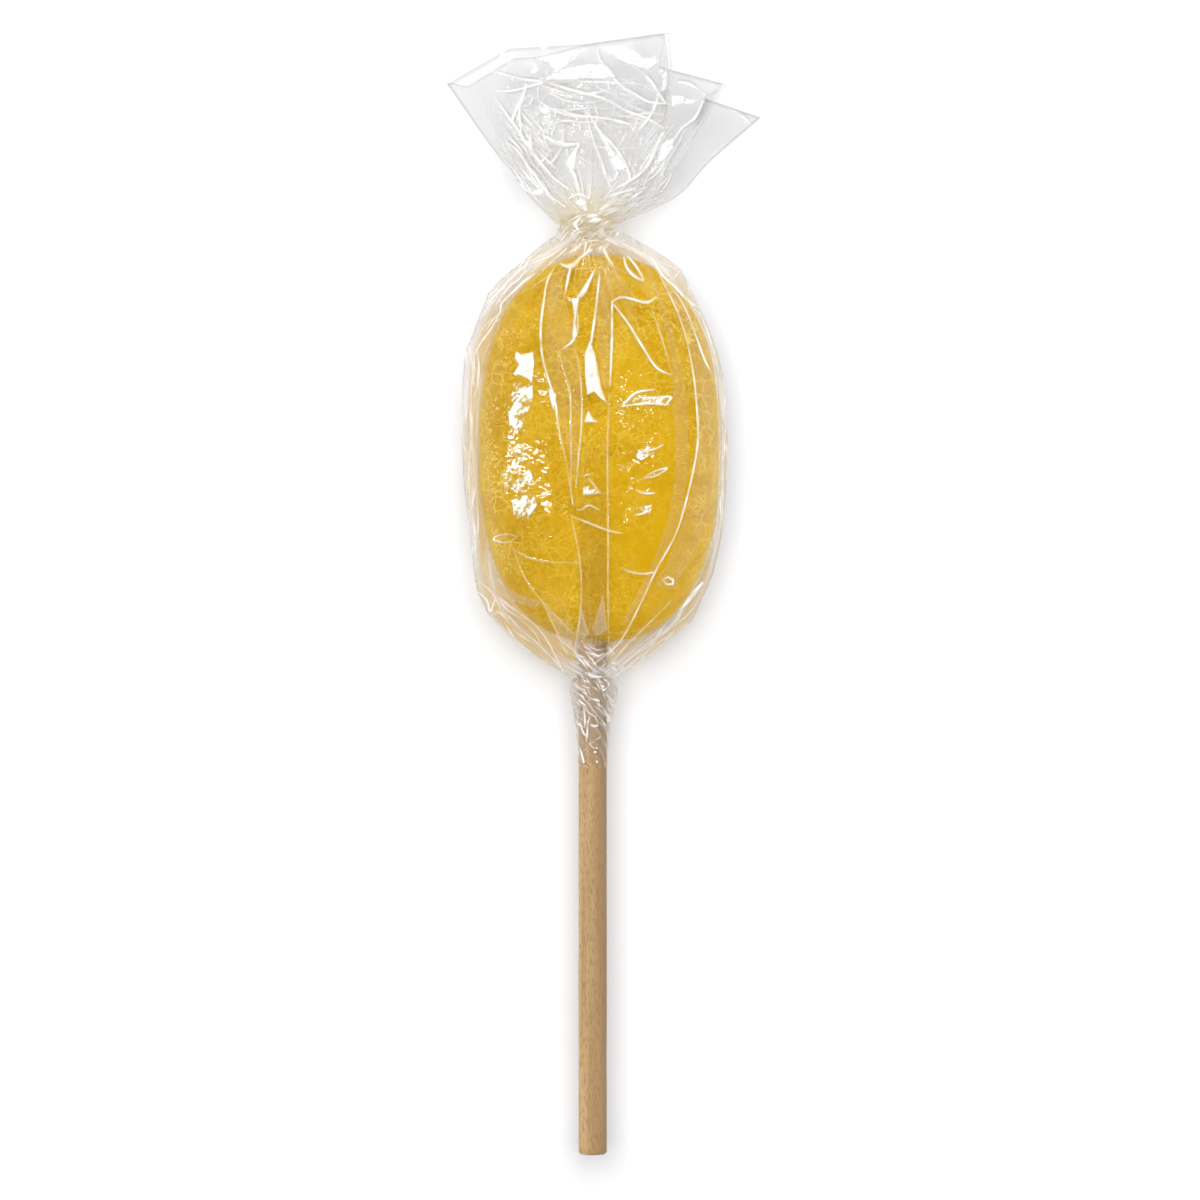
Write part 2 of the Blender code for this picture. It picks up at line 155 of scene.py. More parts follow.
BODY_CREASES = {
    "long left fold": (0.3, [(558, 264, 0.1), (549, 279), (544, 304), (541, 336), (543, 359), (549, 382),
        (555, 400), (558, 423), (567, 467, 0.16), (573, 505)]),
    "upper left arm": (0.35, [(592, 251), (582, 258), (570, 268, 0.8), (564, 267), (556, 263, 0.15)]),
    "upper left stem": (0.35, [(571, 268, 0.5), (568, 281), (565, 297, 0.15)]),
    "left branch": (0.4, [(599, 262, 0.1), (590, 281), (581, 297, 0.8), (573, 303), (565, 298, 0.15)]),
    "left pocket": (0.3, [(576, 304), (578, 322), (576, 338), (572, 344), (559, 353, 0.15)]),
    "pocket's lower side": (0.2, [(559, 355), (564, 372), (570, 392), (571, 420), (571, 490)]),
    "inner left line": (0.2, [(577, 356), (581, 385), (582, 410), (578, 466), (576, 488)]),
    "middle line": (0.35, [(600, 272, 0.2), (597, 300), (594, 325), (591, 345, 0.5)]),
    "wedge's right line": (0.2, [(597, 364), (601, 391), (607, 405)]),
    "straight line": (0.3, [(612, 303), (612, 330), (610, 387)]),
    "straight line's foot": (0.15, [(609, 395), (608, 420), (608, 538), (608, 607), (609, 643)]),
    "triangle's top": (0.3, [(612, 304), (620, 299), (632, 301), (647, 304, 0.5), (656, 299)]),
    "triangle's long side": (0.3, [(614, 307), (627, 324), (642, 348), (660, 372), (670, 376)]),
    "triangle's right side": (0.15, [(651, 309), (657, 327), (666, 355), (671, 374)]),
    "top leaf": (0.3, [(603.5, 248), (607, 258, 0.45), (613, 267)]),
    "long right pleat": (0.25, [(650, 256), (663, 283), (680, 321), (691, 364), (696, 405), (697, 446),
        (693, 470), (688, 492), (675, 535), (656, 570), (640, 604), (620, 641), (608, 655)]),
    "outer right pleat": (0.2, [(659, 272), (682, 304), (697, 341), (704, 360, 0.35), (713, 378)]),
    "lower middle line": (0.15, [(571, 515), (580, 561), (581, 607), (574, 654)]),
    "flap's right side": (0.1, [(581, 607), (587, 628), (590, 632)]),
    "second flap's left side": (0.1, [(603, 595), (592, 630)]),
    "second flap's right side": (0.1, [(603, 595), (607, 629)]),
    "lower left fold": (0.15, [(512, 545), (526, 579), (543, 602), (575, 634)]),
    "lower left branch": (0.15, [(543, 602), (555, 628), (567, 655)]),
    "rim fold": (0.15, [(498, 597), (516, 610), (540, 630), (562, 668, 0.3)]),
    "cross scratch": (0.2, [(572, 517), (590, 524), (608, 531), (622, 534)]),
    "drop's trail": (0.15, [(511, 545), (516, 551), (527, 557), (548, 562), (580, 563)]),
    "low right scratch": (0.25, [(620, 568, 0.12), (630, 572), (644, 574), (656, 572)]),
    "right glint's lower side": (0.3, [(621, 408), (645, 405), (668, 406)]),
    "right glint's upper side": (0.3, [(622, 408), (634, 395), (654, 391)]),
    "right glint's cross": (0.3, [(640, 399), (655, 399), (671, 399), (664, 407)]),
    "right dots": (0.3, [(636, 491), (643, 494), (654, 494)]),
    "lower right dots": (0.25, [(634, 516), (643, 514), (651, 510)]),
    "small loop": (0.35, [(640, 454), (645, 452), (655, 450, 0.2), (662, 446)]),
    "left wing's outer fold": (0.2, [(489, 291), (497, 292), (508, 282), (531, 262), (557, 249)]),
    "left wing's upper fold": (0.2, [(504, 277), (530, 265), (552, 256), (566, 246)]),
    "left wing's corner": (0.2, [(490, 292), (501, 302), (494, 325), (480, 345), (473, 362), (474, 385)]),
    "left wing's strand": (0.1, [(504, 303), (498, 330), (486, 352), (480, 372), (475, 400), (473, 450),
        (475, 520), (483, 575)]),
    "left foot's triangle": (0.25, [(478, 592), (487, 600), (490, 612), (495, 600)]),
    "left rim": (0.15, [(489, 614), (503, 613), (520, 628), (545, 650), (563, 670, 0.3)]),
    "left wing's crossing strand": (0.2, [(481, 318), (488, 306), (494, 297), (502, 290), (508, 281),
        (515, 274), (521, 267)]),
    "left wing's middle strand": (0.2, [(494, 311), (499, 301), (505, 293), (512, 285), (519, 280),
        (526, 272), (535, 269)]),
    "left wing's inner edge": (0.28, [(500, 308), (505, 300), (512, 294), (519, 287), (526, 281),
        (535, 275)]),
    "right wing's corner": (0.2, [(681, 270), (675, 277), (672, 282, 0.1)]),
    "right wing's inner edge": (0.35, [(648, 257), (652, 260), (657, 268), (663, 277), (671, 284),
        (679, 292), (686, 300), (694, 306)]),
    "right wing's upper fold": (0.15, [(650, 254), (660, 262), (669, 266.5), (680, 269)]),
    "right wing's outer fold": (0.15, [(683, 276), (690, 290.5), (693, 297.5), (698, 306.5)]),
    "right wing's strand": (0.15, [(640, 250), (655, 262), (675, 285), (695, 315), (711, 352), (717, 400),
        (719, 470), (716, 525), (706, 560), (690, 595)]),
    "right wing's outer strand": (0.15, [(697, 305), (709, 337, 0.3), (718, 370), (722, 420), (722, 480),
        (718, 540), (708, 575)]),
    "right foot's leaf": (0.3, [(682, 608), (693, 594, 0.7), (703, 582)]),
    "right foot's line": (0.15, [(616, 676, 0.3), (634, 660), (660, 636), (690, 612), (705, 590)]),
    "right foot's second line": (0.15, [(606, 668), (622, 650), (650, 622), (672, 600)]),
    "top seam": (0.1, [(505, 300), (530, 290), (550, 277), (575, 271), (597, 270), (612, 269), (630, 277),
        (655, 292)]),
    "bottom seam": (0.1, [(545, 612), (575, 632), (610, 633), (645, 628), (675, 613)]),
    "ring round the stick": (0.23, [(587, 643), (591, 647), (597, 650), (603, 649)]),
    "ring's lower side": (0.26, [(587, 651.5), (592.5, 653.5), (598, 656), (604.5, 653)]),
    "gather's first twist": (0.26, [(580, 658), (584, 664), (587, 669)]),
    "gather's second twist": (0.26, [(584, 659), (589, 665), (593, 669)]),
    "gather's third twist": (0.21, [(587, 654.5), (592, 659), (596, 665)]),
    "gather's bar": (0.34, [(588, 674), (593, 676), (601.5, 676.5)]),
    "gather's lower bar": (0.34, [(592, 678.5), (597, 679.3), (602, 679)]),
    "gather's left bead": (0.32, [(580.5, 673), (583, 677.5)]),
    "gather's leaf": (0.19, [(598.5, 672), (601, 667), (605, 663.5), (603, 669), (599, 673)]),
    "second leaf": (0.35, [(624, 258), (626, 268), (632, 276), (643, 282), (636, 268), (628, 258)]),
    "lower glint's foot": (0.25, [(583, 495), (592, 494.4), (601, 493.6)]),
    "lower glint's side": (0.2, [(589, 479), (593.5, 485.5), (600, 493)]),
    "lower glint's top": (0.2, [(583, 477.5), (587, 475.6), (591, 475.6)]),
    "lowest glint": (0.2, [(577, 511), (583, 510), (588, 505.5), (594, 508), (600, 511)]),
    "left teardrop": (0.22, [(518, 537), (508, 534.5), (498, 536), (493, 539), (500, 542), (511, 542),
        (516, 538)]),
    "right teardrop": (0.25, [(662, 580), (669, 577), (674, 583), (668, 585), (662, 580)]),
    "right loop": (0.25, [(643, 479), (655, 472), (667, 469), (655, 477), (643, 479)]),
}

# Translucent doubled film on the body: how milky it is, and its corners as photograph pixels

BODY_PANELS = {
    "right band": (0.07, [(656, 297), (664, 330), (671, 360), (674, 420), (676, 470), (668, 520),
        (650, 570), (620, 625), (628, 622), (662, 560), (680, 515), (688, 470), (687, 420), (684, 380),
        (676, 345), (660, 300), (650, 268), (646, 272)]),
    "outer right band": (0.08, [(662, 280), (684, 325), (693, 360), (698, 405), (698, 440), (694, 480),
        (684, 520), (668, 560), (655, 585), (672, 590), (690, 560), (704, 530), (716, 505), (722, 470),
        (722, 420), (717, 380), (706, 345), (690, 310), (672, 282)]),
    "left flap": (0.14, [(543, 602), (575, 634), (567, 655)]),
    "middle flap": (0.2, [(581, 606), (587, 628), (589, 632), (574, 655), (576, 634)]),
    "right flap": (0.2, [(603, 596), (607, 630), (598, 635), (592, 630)]),
    "lower left panel": (0.12, [(486, 542), (503, 586), (520, 594), (543, 602), (534, 608), (512, 601),
        (496, 592), (484, 570)]),
    "middle pleats": (0.07, [(598, 262), (610, 262), (612, 300), (610, 390), (604, 390), (597, 340)]),
    "left pleats": (0.06, [(552, 275), (565, 300), (577, 345), (580, 400), (575, 480), (566, 440),
        (552, 385), (545, 340)]),
}

# Flat facets of the body's film that mirror a softbox, with a painted white highlight on them too: the box
# and the corners as photograph pixels

BODY_FACETS = {
    "white wedge": (RIGHT_BOX, [(584, 357), (590, 341), (596, 358), (599, 384), (607, 405), (600, 400),
        (594, 394), (587, 397), (585, 380)]),
    "left fold's wedge": (RIGHT_BOX, [(548, 388), (557, 396), (556, 404), (554, 414), (550, 402)]),
    "small wedge": (RIGHT_BOX, [(588, 411), (594, 421), (600, 424), (584, 424)]),
    "pocket's side": (RIGHT_BOX, [(571, 300), (580, 299), (578, 312), (576, 324), (578, 337), (573, 345),
        (572, 336), (574, 318)]),
    "upper left glint": (LEFT_BOX, [(516, 352), (522, 356), (534, 353), (535, 366), (533, 383), (521, 377),
        (513, 376), (519, 366), (515, 360)]),
}

# Painted streaky glints of the body's film: corners as photograph pixels

BODY_GLINTS = [
    [(514, 384), (533, 380), (534, 400), (528, 414), (519, 436), (510, 432), (508, 408)],
    [(508, 448), (528, 444), (526, 462), (534, 478), (526, 494), (505, 489), (501, 476), (512, 466)],
    [(512, 498), (534, 494), (538, 506), (528, 520), (514, 518)],
    [(620, 405), (634, 394), (645, 398), (668, 398), (662, 407)],
    [(583, 489), (587, 484), (590, 481), (600, 493.5), (583, 495)],
    [(628, 452), (646, 446), (660, 452), (640, 462)],
    [(634, 508), (652, 505), (650, 515), (638, 518)],
]

# Creases of the fan's panels, in the same form as the body's

FAN_CREASES = {
    "A": {
        "long arc": (0.3, [(492, 72), (506, 75), (519, 78.5), (543, 82), (573, 91), (607, 101), (627, 112),
            (646, 119), (664, 129.5)]),
        "upper arc": (0.3, [(496, 91), (508, 91), (527, 87), (543, 83), (561, 82), (600, 83),
            (640, 85, 0.15)]),
        "narrow leaf's left": (0.4, [(527, 83, 0.2), (523.5, 93), (514, 113.5), (511.5, 121)]),
        "narrow leaf's right": (0.3, [(527, 84), (523.5, 96), (519, 109), (519.5, 121), (520.5, 133)]),
        "first left line": (0.3, [(496, 100), (508, 117), (518, 130.5), (527, 145), (539, 161),
            (551.5, 175.5), (568.5, 189)]),
        "second left line": (0.3, [(505.5, 142.5), (515, 149), (525, 163), (537, 179), (549, 195),
            (555, 204.5)]),
        "fourth left line": (0.3, [(530, 133), (530, 145, 0.55), (533, 153.5), (543, 166), (555, 179)]),
        "crossing line": (0.2, [(544, 87), (553, 94), (561, 99), (573, 102.5), (591, 104), (603, 100)]),
        "eye's right": (0.25, [(549, 109), (561, 110), (573, 115), (600, 118.5), (632, 128), (638, 135)]),
        "upper flow": (0.25, [(544, 133), (555, 123), (567, 121), (585, 123), (604, 121)]),
        "star's left arm": (0.4, [(544, 135.5), (562, 145, 0.6), (579, 144)]),
        "star's left branch": (0.3, [(562, 147), (554, 160), (549, 164.5)]),
        "star's lower arm": (0.4, [(579, 145), (573, 155, 0.6), (568, 163, 0.6), (574, 174),
            (580, 195, 0.25)]),
        "leaf's left line": (0.25, [(585, 109), (591.5, 134.5), (600.5, 159), (608, 180.5), (613.5, 192)]),
        "leaf's inner line": (0.3, [(588, 113), (604, 140), (612, 152), (619.5, 168)]),
        "leaf's right line": (0.35, [(589, 113, 0.2), (599, 131), (617, 151), (627, 169), (630, 179),
            (621, 189, 0.2)]),
        "leaf's foot": (0.3, [(612, 165), (618, 173), (612, 182), (609, 176)]),
        "right upper arc": (0.3, [(597, 49), (599, 59), (608, 72, 0.5), (621, 87), (634, 95), (649, 103),
            (664, 105)]),
        "right cross": (0.3, [(641, 72), (651.5, 83.5), (659, 95), (666, 105)]),
        "right knot": (0.3, [(659, 95), (653, 112), (646.5, 122), (639, 131)]),
        "right boundary": (0.3, [(664, 129.5), (657, 145), (646.5, 168), (641, 174), (627, 183),
            (612, 192)]),
        "left band's fold": (0.1, [(472, 78), (482, 105), (494.5, 133), (508, 151), (520, 170)]),
        "foot's ring": (0.3, [(570, 199), (576, 195), (583, 195), (589, 199)]),
    },
    "B": {
        "top dashes": (0.35, [(678, 82), (691, 85), (698, 90, 0.15), (705, 95)]),
        "inner line": (0.3, [(703, 101), (695, 118), (682, 128), (672, 145)]),
        "edge line": (0.15, [(720, 94), (708, 113), (692, 136), (678, 158), (660, 176)]),
        "second line": (0.2, [(688, 124), (672, 154), (655, 175), (640, 186)]),
    },
    "C": {
        "dashes": (0.35, [(733, 110), (738, 113, 0.15), (744, 117), (750, 124)]),
    },
}
# Facets of the fan's panels that mirror a softbox, with a painted white highlight on them too, in the same
# form as the body's
FAN_FACETS = {
    "A": {
        "white wedge": (HEAD_BOX, [(543, 82), (556, 72), (570, 68), (589, 65), (603, 64.5), (610, 70),
            (616, 79), (600, 80), (580, 81.5)]),
        "top star": (HEAD_BOX, [(533, 60), (549, 56), (561, 54), (588, 49), (566, 69), (556, 74),
            (549, 65)]),
        "top right blaze": (HEAD_BOX, [(598, 48), (620, 46), (634, 52), (645, 60), (655, 58), (658, 64),
            (648, 73), (640, 70), (628, 66), (610, 57)]),
        "edge blaze": (LEFT_BOX, [(659, 70), (667, 72), (667, 90), (661, 93), (662, 80)]),
        "star's arm": (LEFT_BOX, [(578.5, 146), (574, 172), (568.5, 167), (567, 163)]),
        "leaf": (LEFT_BOX, [(602, 140), (608, 148.5), (616, 152.5), (627, 169), (618.5, 173), (612, 165)]),
        "eye": (HEAD_BOX, [(540, 108), (548, 106), (551, 112), (545, 115), (540, 112)]),
        "left arm": (HEAD_BOX, [(553, 139), (568, 143), (576, 144.5), (564, 148), (558, 143)]),
        "left foot": (HEAD_BOX, [(527, 194), (540, 188), (544, 191), (541, 197)]),
        "foot": (HEAD_BOX, [(574, 203), (581, 199), (588, 202), (586, 206), (580, 207)]),
    },
    "B": {
        "upper blaze": (HEAD_BOX, [(671, 95), (684, 96), (690, 100), (700, 99), (693, 104), (684, 105),
            (671, 108)]),
        "lower blaze": (LEFT_BOX, [(658, 146), (668, 140), (675, 138), (672, 152), (664, 160), (656, 170),
            (650, 176), (650, 166), (657, 158)]),
    },
}

# Creases of the twisted film, in the same form

NECK_CREASES = {
    "first bar": (0.4, [(587.5, 217.5), (592, 216, 0.7), (598, 215)]),
    "second bar": (0.3, [(589, 223), (595, 221, 0.8), (601, 220.5)]),
    "hook": (0.4, [(580, 219), (576, 223), (574, 228), (578, 230.5)]),
    "long bar": (0.4, [(576, 247.5), (581, 245.5), (590, 240.5)]),
}
SLEEVE_CREASES = {
    "top bar": (0.31, [(582, 685.5), (589, 687.5)]),
    "second bar": (0.31, [(580, 688), (585, 689.7)]),
    "bead": (0.55, [(602.4, 686), (603, 686.3)]),
    "bead's shell": (0.23, [(601, 688), (603.5, 690), (606.5, 687.5)]),
    "left strand": (0.23, [(578.3, 693), (583.3, 697), (585.3, 700.5)]),
    "second left strand": (0.29, [(579, 699.5), (582, 703), (585.5, 704.7)]),
    "second bead": (0.21, [(586.6, 696.3), (593, 698.8), (597.2, 700, 0.55), (598.3, 700.4, 0.55)]),
    "right strand": (0.21, [(601.5, 704.5), (605.5, 712), (610, 721)]),
    "upper right strand": (0.18, [(606, 694), (610, 700), (614, 712)]),
    "lower right strand": (0.18, [(601.5, 719.5), (604, 723), (606.5, 728)]),
    "chain": (0.23, [(583.7, 706), (584.4, 713), (585, 719, 0.31), (584.7, 727)]),
    "chain's outer side": (0.26, [(580.4, 722), (582.2, 730), (585, 735), (588, 737)]),
    "chain's foot": (0.29, [(587.6, 726), (587.2, 734), (586.2, 742)]),
    "arc": (0.23, [(585, 708), (588, 712.5), (593, 714), (596.3, 718), (598, 723)]),
    "arc's left side": (0.23, [(587, 727), (588.5, 720), (590.3, 716)]),
    "arc's foot": (0.38, [(591, 724.7), (594, 725.8), (597.5, 725.2)]),
    "tick": (0.29, [(595.7, 739.4), (600.2, 736.9)]),
    "squiggle": (0.23, [(594.4, 741.3), (591.3, 740.8), (589.3, 742.7), (591.5, 745.5), (594, 748.5)]),
    "upper dot": (0.35, [(596.2, 747.4), (597, 748)]),
    "middle dot": (0.38, [(594.6, 751.6), (596, 751.8)]),
    "lowest dot": (0.38, [(596.6, 761), (597.2, 761.8)]),
    "left streak": (0.23, [(579, 746), (582, 754), (583.7, 762, 0.44)]),
}

# Fine creases that run out from a gather: its pixel, bearings in degrees, lengths in millimetres and count

TOP_GATHER = ((588, 232), (200.0, 340.0), (4.0, 9.0), 22)
BOTTOM_GATHER = ((594, 680), (20.0, 160.0), (3.0, 9.0), 18)
FAN_GATHER = ((588, 222), (30.0, 145.0), (4.0, 12.0), 26)

# Fine creases strewn over an oval: middle pixel, half size in pixels, bearings in degrees, lengths in
# millimetres and their count

FAN_STREWN = [
    ((578, 118), (66, 50), (0.0, 180.0), (1.0, 4.0), 54),
    ((598, 112), (58, 30), (-26.0, 8.0), (4.0, 11.0), 24),
    ((628, 150), (18, 30), (50.0, 120.0), (1.0, 4.0), 26),
]
FAN_BUNDLES = [
    ((526, 155), (22, 46), (118.0, 138.0), (2.0, 8.0), 80),
    ((632, 203), (34, 14), (12.0, 38.0), (2.0, 6.0), 50),
    ((657, 158), (14, 30), (48.0, 64.0), (2.0, 6.0), 34),
]
NECK_WRINKLES = ((588, 230), (24, 20), (5.0, 35.0), (1.0, 4.0), 40)
FOOT_WRINKLES = ((595, 662), (22, 18), (125.0, 170.0), (0.8, 3.0), 50)
SLEEVE_WRINKLES = ((595, 704), (24, 28), (108.0, 150.0), (0.8, 3.0), 70)

WING_STREWN = [
    ((590, 241), (36, 12), (5.0, 60.0), (1.0, 4.0), 50),
    ((512, 296), (36, 40), (38.0, 62.0), (2.0, 7.0), 46),
    ((469, 450), (9, 120), (84.0, 97.0), (3.0, 10.0), 40),
    ((722, 430), (10, 120), (84.0, 97.0), (3.0, 10.0), 34),
    ((674, 288), (40, 42), (116.0, 142.0), (2.0, 7.0), 46),
    ((508, 622), (38, 38), (120.0, 152.0), (2.0, 7.0), 46),
    ((672, 624), (42, 40), (32.0, 58.0), (2.0, 7.0), 46),
]

# Pixel of the dark ring of painted shade where the film covers the stick's root

STICK_RING = (597, 647)

# Mesh resolution, and the knots along each side of the noise

BODY_COLUMNS = 370
BODY_ROWS = 470
BACK_COLUMNS = 110
BACK_ROWS = 300
FAN_COLUMNS = 390
FAN_ROWS = 240
FAN_BACK_COLUMNS = 180
FAN_BACK_ROWS = 130
TUBE_COLUMNS = 260
SLEEVE_ROWS = 190
NECK_ROWS = 80
CANDY_SIDES = 220
CANDY_RINGS = 130
STICK_SIDES = 72
STICK_ROWS = 200
NOISE_KNOTS = 64

# Film: pleats round a tube and, in millimetres, the gap to the candy and half the gap in the fan

TUBE_PLEATS = 9
CANDY_MARGIN = 0.12
FAN_GAP = 0.35

# Creases in millimetres: the step and reach of a path, the ridge's height and slope, and the painted
# highlight line's least and added half width. The last is the strength at which the painted highlight is
# full white.

CREASE_STEP = 0.6
CREASE_REACH = 1.0
RIDGE_HEIGHT = 0.35
RIDGE_SLOPE = 0.4
LINE_LEAST = 0.045
LINE_ADDED = 0.42
LINE_FULL = 0.25

# Half the floor's side in metres

FLOOR_REACH = 6.0


def photo_mm(pixel):
    """A pixel of the photograph as X and Y in millimetres."""
    return (pixel[0] - PHOTO_ORIGIN[0]) * PHOTO_SCALE, (PHOTO_ORIGIN[1] - pixel[1]) * PHOTO_SCALE


def photo_path(pixels):
    """Pixels of the photograph as rows of X and Y in millimetres."""
    return np.array([photo_mm(pixel) for pixel in pixels])


def smooth(value):
    """A soft step from 0 to 1."""
    value = np.clip(value, 0.0, 1.0)
    return value * value * (3.0 - 2.0 * value)


def curve_through(knots, values, places):
    """Values on a smooth curve through knots, with uneven steps between them."""
    knots = np.asarray(knots, float)
    values = np.asarray(values, float)
    slopes = np.gradient(values, knots, axis=0)
    places = np.clip(places, knots[0], knots[-1])
    span = np.clip(np.searchsorted(knots, places, side="right") - 1, 0, len(knots) - 2)
    width = knots[span + 1] - knots[span]
    local = (places - knots[span]) / width
    shape = local.shape + (1,) * (values.ndim - 1)
    local = local.reshape(shape)
    width = width.reshape(shape)
    square = local * local
    cube = square * local
    result = values[span] * (2 * cube - 3 * square + 1) + slopes[span] * width * (cube - 2 * square + local)
    result += values[span + 1] * (3 * square - 2 * cube) + slopes[span + 1] * width * (cube - square)
    return result


def signed_power(value, power):
    """A power that keeps the value's sign."""
    return np.sign(value) * np.abs(value) ** power


def turned(x, y, bearing):
    """X and Y after a turn by a bearing in radians."""
    return x * math.cos(bearing) - y * math.sin(bearing), x * math.sin(bearing) + y * math.cos(bearing)


def circle(count):
    """Angles round a circle, as one row."""
    return np.linspace(0.0, 2.0 * math.pi, count, endpoint=False)[None, :]


def noise(x, y, seed):
    """Smooth noise from -1 to 1 over a plane, with one knot for each unit."""
    size = NOISE_KNOTS
    knots = np.random.default_rng(seed).uniform(-1.0, 1.0, (size, size))
    column = np.floor(x).astype(int)
    row = np.floor(y).astype(int)
    across = smooth(x - column)
    along = smooth(y - row)
    near, far = (knots[place % size, column % size] * (1 - across)
                 + knots[place % size, (column + 1) % size] * across for place in (row, row + 1))
    return near * (1 - along) + far * along


def slanted_noise(x, y, across, along, seed):
    """Noise with its knots on a grid that is turned by 45 degrees, at steps across and along the slant."""
    return noise((x + y) / across, (y - x) / along, seed)


def crumpled(x, y, seed, folds):
    """Facets of crumpled film: the plane is folded over and over, and each facet keeps a slope of 1."""
    draw = np.random.default_rng(seed)
    x = np.array(x, float)
    y = np.array(y, float)
    for _ in range(folds):
        turn = draw.uniform(0.0, 2.0 * math.pi)
        row = draw.integers(x.shape[0])
        column = draw.integers(x.shape[1])
        normal_x = math.cos(turn)
        normal_y = math.sin(turn)
        depth = (x - x[row, column]) * normal_x + (y - y[row, column]) * normal_y
        beyond = np.minimum(depth, 0.0)
        x = x - 2.0 * beyond * normal_x
        y = y - 2.0 * beyond * normal_y
    turn = draw.uniform(0.0, 2.0 * math.pi)
    height = x * math.cos(turn) + y * math.sin(turn)
    return height - height.mean()


# Creases


def photo_creases(table):
    """Named creases of the photograph as paths in millimetres with strengths that fade at the ends."""
    for strength, points in table.values():
        path = np.array([(*photo_mm(point), *(point[2:] or (strength,))) for point in points])
        path[:, 2] *= 0.6 + 0.4 * np.sin(np.linspace(0.0, math.pi, len(path)))
        yield path


def gather_creases(gather, seed):
    """Fine, slightly bent creases that run out from a gather."""
    middle, bearings, lengths, count = gather
    draw = np.random.default_rng(seed)
    centre_x, centre_y = photo_mm(middle)
    step = np.linspace(0.0, 1.0, 5)
    for number in range(count):
        share = (number + draw.uniform(-0.3, 0.3)) / (count - 1)
        bearing = math.radians(bearings[0] + (bearings[1] - bearings[0]) * share)
        start = draw.uniform(1.5, 4.0)
        length = draw.uniform(*lengths)
        bend = draw.uniform(-0.25, 0.25)
        height = draw.uniform(0.05, 0.22)
        reach = start + length * step
        turn = bearing + bend * step * step
        yield np.stack([centre_x + reach * np.cos(turn), centre_y + reach * np.sin(turn),
                        height * (1.0 - 0.8 * step)], axis=1)


def strewn_creases(region, seed):
    """Short bent creases over an oval region, at bearings within a range."""
    middle, half_size, bearings, lengths, count = region
    draw = np.random.default_rng(seed)
    centre_x, centre_y = photo_mm(middle)
    step = np.linspace(-0.5, 0.5, 5)
    for _ in range(count):
        turn = draw.uniform(0.0, 2.0 * math.pi)
        reach = math.sqrt(draw.uniform(0.0, 1.0)) * PHOTO_SCALE
        x = centre_x + reach * math.cos(turn) * half_size[0]
        y = centre_y + reach * math.sin(turn) * half_size[1]
        bearing = math.radians(draw.uniform(*bearings))
        bend = draw.uniform(-0.5, 0.5)
        length = draw.uniform(*lengths)
        height = draw.uniform(0.05, 0.25)
        along_x, along_y = turned(length * step, bend * length * (0.25 - step * step), bearing)
        yield np.stack([x + along_x, y + along_y, height * (1.0 - 1.2 * np.abs(step))], axis=1)


def strewn_over(regions, seed):
    """The strewn creases of several regions."""
    return [path for number, region in enumerate(regions) for path in strewn_creases(region, seed + number)]


def gather_folds(x, y, gather, seed):
    """Soft folds that run out from a gather and fade with distance, from 0 to 1."""
    centre_x, centre_y = photo_mm(gather[0])
    bearing = np.arctan2(y - centre_y, x - centre_x)
    reach = np.hypot(x - centre_x, y - centre_y)
    folds = noise(bearing * 11.0, reach / 9.0, seed) + 0.6 * noise(bearing * 27.0, reach / 6.0, seed + 1)
    return smooth(0.35 + 0.9 * folds) * (1.0 - smooth((reach - 6.0) / 15.0))


def in_reach(x, y, path, reach=0.0):
    """Where points lie in the box round a path, swollen by a reach."""
    near = (x > path[:, 0].min() - reach) & (x < path[:, 0].max() + reach)
    return near & (y > path[:, 1].min() - reach) & (y < path[:, 1].max() + reach)


def from_segment(x, y, start, end):
    """The share along a segment that is nearest to each point, and the point's offset from there."""
    along_x = end[0] - start[0]
    along_y = end[1] - start[1]
    share = ((x - start[0]) * along_x + (y - start[1]) * along_y) / (along_x ** 2 + along_y ** 2)
    share = np.clip(share, 0.0, 1.0)
    return share, x - start[0] - share * along_x, y - start[1] - share * along_y


def add_crease(x, y, masks, path):
    """Raises a low ridge along a smooth curve through a path, with a painted highlight line on it and a
    painted shade line beside it.
    """
    steps = np.linalg.norm(np.diff(path[:, :2], axis=0), axis=1)
    lengths = np.concatenate([[0.0], np.cumsum(steps)])
    places = np.linspace(0.0, lengths[-1], max(3, int(lengths[-1] / CREASE_STEP)))
    path = curve_through(lengths, path, places)
    near = in_reach(x, y, path, CREASE_REACH)
    near_x = x[near]
    near_y = y[near]
    own = np.zeros((3, len(near_x)))
    for start, end in zip(path, path[1:]):
        share, away_x, away_y = from_segment(near_x, near_y, start, end)
        distance = np.hypot(away_x, away_y)
        strength = np.maximum(start[2] + (end[2] - start[2]) * share, 0.01)
        bright = np.clip(strength / LINE_FULL, 0.0, 1.0) ** 1.4
        width = LINE_LEAST + LINE_ADDED * strength
        beside = (distance - 1.8 * width) / width
        ridge = RIDGE_HEIGHT * strength - RIDGE_SLOPE * distance
        # Painted highlight along the crease, and painted shade beside it on one side
        line = np.exp(-(distance / width) ** 4) * bright
        shade = np.exp(-beside ** 2) * (away_x > 0.0) * bright
        own = np.maximum(own, [ridge, line, shade])
    for mask, values in zip(masks, own):
        mask[near] = np.maximum(mask[near], values)


def crease_masks(x, y, creases, seed):
    """Ridge height, painted highlight line and painted shade line of many creases, with a line strength
    that wavers.
    """
    masks = np.zeros((3, *x.shape))
    for path in creases:
        add_crease(x, y, masks, path)
    masks[1:] *= 0.86 + 0.4 * noise(x / 1.3, y / 1.3, seed)
    return masks


